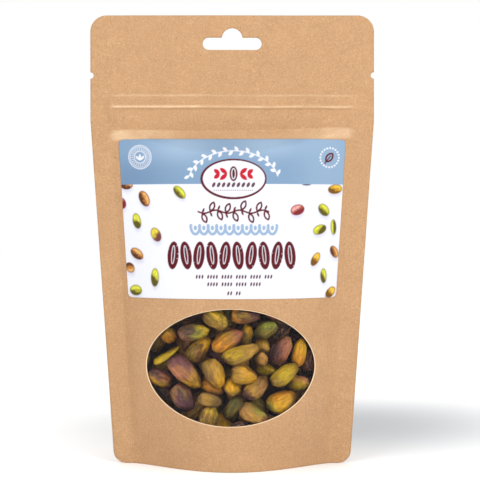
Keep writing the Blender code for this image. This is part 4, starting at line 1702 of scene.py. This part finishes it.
@dataclass
class KernelHeap:
    """The kernels behind those in the window, which lie as they would fall, in one piece.

    lengths, widths and depths are their sizes in millimetres.
    """

    form: PouchForm
    base: Gusset
    count: int = 86
    tries: int = 14
    gap: float = 0.3 * MM
    wall: float = 1.0 * MM
    low: float = 10 * MM
    high: float = 84 * MM
    seed: int = 7
    fineness: int = 4
    lengths: tuple[float, float] = (12.5, 16.0)
    widths: tuple[float, float] = (7.4, 9.0)
    depths: tuple[float, float] = (6.8, 8.0)
    spread: float = 0.92
    base_gap: float = 2 * MM
    tones: tuple[Tone, ...] = (Tone.OLIVE, Tone.BROWN, Tone.PLUM, Tone.TAN, Tone.MOSS, Tone.DUSK)

    def walls(self, balls: np.ndarray) -> tuple[np.ndarray, np.ndarray]:
        """How far forward and back the middle of each ball may lie.

        Args:
            balls: N rows of a centre and a radius.

        Returns:
            The lowest and the highest y of each.
        """
        x, z = balls[:, 0], balls[:, 2]
        across, up = self.form.slopes(x, z, None, 0.5 * MM)
        room = self.form.depth(x, z) - (balls[:, 3] + self.wall) * np.sqrt(1 + across**2 + up**2)
        return -room, room

    def above_base(self, balls: np.ndarray) -> bool:
        """Whether the balls are clear of the folded base."""
        t = np.abs(balls[:, 0]) / self.form.inner(balls[:, 2])
        return bool(np.all(balls[:, 2] - balls[:, 3] > self.base_gap + self.base.fold(t)))

    def rest(self, balls: np.ndarray, placed: np.ndarray) -> float | None:
        """How far forward the balls come to rest.

        Args:
            balls: the kernel's balls.
            placed: the balls that are there already.

        Returns:
            How far to move them along y, or None where they don't fit.
        """
        front, back = self.walls(balls)
        move = float((front - balls[:, 1]).max())
        limit = float((back - balls[:, 1]).min())
        reach = balls[:, None, 3] + placed[None, :, 3] + self.gap
        apart = (balls[:, None, 0] - placed[None, :, 0]) ** 2
        apart += (balls[:, None, 2] - placed[None, :, 2]) ** 2
        touch = apart < reach**2
        middle = (placed[None, :, 1] - balls[:, None, 1])[touch]
        span = np.sqrt(reach[touch] ** 2 - apart[touch])
        order = np.argsort(middle - span)
        for low, high in zip((middle - span)[order], (middle + span)[order]):
            if low < move < high:
                move = float(high)
        return move if move <= limit else None

    def throw(self, random: np.random.Generator, placed: np.ndarray) -> Kernel | None:
        """Tries a kernel in several places, and keeps the one that comes furthest forward.

        Args:
            random: where its places and sizes come from.
            placed: the balls that are there already.

        Returns:
            The kernel, or None where none of the places has room.
        """
        best = None
        for _ in range(self.tries):
            axes = np.linalg.qr(random.normal(size=(3, 3)))[0].T
            z = random.uniform(self.low, self.high)
            x = random.uniform(-self.spread, self.spread) * float(self.form.inner(np.array(z)))
            spans = (self.lengths, self.widths, self.depths)
            size = np.array([random.uniform(*span) for span in spans]) * MM
            kernel = Kernel(np.array((x, 0.0, z)), axes, size)
            balls = kernel.balls(5)
            if not self.above_base(balls):
                continue
            move = self.rest(balls, placed)
            if move is not None and (best is None or move < best[0]):
                best = (move, kernel)
        if best is None:
            return None
        best[1].centre[1] = best[0]
        return best[1]

    def build(self, finishes: Finishes, shown: list[Kernel]) -> bpy.types.Object:
        """Builds the heap behind the kernels that show."""
        random = np.random.default_rng(self.seed)
        placed = np.concatenate([kernel.balls() for kernel in shown])
        skin = KernelSkin(self.fineness)
        points, faces, colours, total = [], [], [], 0
        for number in range(self.count):
            kernel = self.throw(random, placed)
            if kernel is None:
                continue
            placed = np.concatenate((placed, kernel.balls(5)))
            look = KernelLook(self.tones[number % len(self.tones)])
            shaped, furrow = skin.shape(kernel, number, 1.0)
            points.append(shaped)
            colours.append(skin.colour(kernel, look, shaped, furrow, number))
            faces += [tuple(i + total for i in face) for face in skin.faces]
            total += len(shaped)
        skins = {"skin": np.concatenate(colours)}
        piece = make_piece("kernel_heap", np.concatenate(points), faces, (finishes.kernel,), skins)
        hand_over(piece, "pistachio_kernel", "kernel_bulk")
        log.info("kernel_heap: %d kernels", len(points))
        return piece


# --- Studio --------------------------------------------------------------------------------------


@dataclass(frozen=True)
class SoftBox:
    """A large soft light: where it is, where it points, its size and its power in watts."""

    name: str
    place: tuple[float, float, float]
    aim: tuple[float, float, float]
    size: float
    power: float

    def build(self) -> None:
        """Adds the light."""
        light = bpy.data.lights.new(self.name, "AREA")
        light.shape = "DISK"
        light.size = self.size
        light.energy = self.power
        lamp = bpy.data.objects.new(self.name, light)
        lamp.location = self.place
        lamp.rotation_euler = (Vector(self.aim) - Vector(self.place)).to_track_quat("-Z", "Y").to_euler()
        bpy.context.scene.collection.objects.link(lamp)


@dataclass
class Studio:
    """A white sweep, two soft boxes and the camera, which looks down by tilt degrees."""

    sky: float = 1.0
    floor_half: float = 4.0
    floor_z: float = -0.05 * MM
    distance: float = 0.7
    eye: tuple[float, float] = (0.0036, 0.1132)
    tilt: float = 0.85
    lens: float = 114.3
    sensor: float = 36.0
    boxes: tuple[SoftBox, ...] = (
        SoftBox("soft_box_left", (-0.55, -0.95, 0.75), (0, 0, 0.04), 0.6, 3.5),
        SoftBox("soft_box_right", (0.65, -0.95, 0.75), (0, 0, 0.04), 0.6, 6.0),
    )

    def build_floor(self) -> None:
        """Lays the floor."""
        half, z = self.floor_half, self.floor_z
        corners = np.array([(-half, -half, z), (half, -half, z), (half, half, z), (-half, half, z)])
        floor = make_piece("floor", corners, [(0, 1, 2, 3)], (FloorFinish().dress(),))

    def build_sky(self) -> None:
        """Lights the scene evenly from all round."""
        world = bpy.data.worlds.new("studio")
        world.use_nodes = True
        background = world.node_tree.nodes["Background"]
        background.inputs["Color"].default_value = (1, 1, 1, 1)
        background.inputs["Strength"].default_value = self.sky
        bpy.context.scene.world = world

    def build_camera(self) -> None:
        """Sets the camera in front, just above the pouch's middle."""
        lens = bpy.data.cameras.new("camera")
        lens.lens = self.lens
        lens.sensor_width = self.sensor
        camera = bpy.data.objects.new("camera", lens)
        camera.location = (self.eye[0], -self.distance, self.eye[1])
        camera.rotation_euler = (math.radians(90 - self.tilt), 0.0, 0.0)
        bpy.context.scene.collection.objects.link(camera)
        bpy.context.scene.camera = camera

    def build(self) -> None:
        """Builds the studio."""
        self.build_sky()
        self.build_floor()
        self.build_camera()
        for box in self.boxes:
            box.build()
        bpy.context.scene.view_settings.view_transform = "Standard"


# --- The pouch -----------------------------------------------------------------------------------


def dress_zip(finishes: Finishes) -> None:
    """Gives the two zip strips of the frame their plastic."""
    for name in ("zip_rib_strip", "zip_lip_strip"):
        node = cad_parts[name]
        node.data.materials.clear()
        node.data.materials.append(finishes.zip)
        log.info("%s: keeps its own shape", name)


def main() -> None:
    """Builds the pouch from its base up, then the studio."""
    logging.basicConfig(level=logging.INFO, format="%(name)s: %(message)s")
    finishes = Finishes()
    form = PouchForm.from_frame()
    window = Window.from_frame()
    Panel(form, Side.FRONT, window).build("front_panel", finishes)
    Panel(form, Side.BACK).build("back_panel", finishes)
    gusset = Gusset(form)
    gusset.build(finishes)
    window.build_film(form, finishes)
    Label(form).build(finishes)
    dress_zip(finishes)
    shown = WindowKernels().build(finishes)
    KernelHeap(form, gusset).build(finishes, shown)
    Studio().build()


if __name__ == "__main__":
    main()
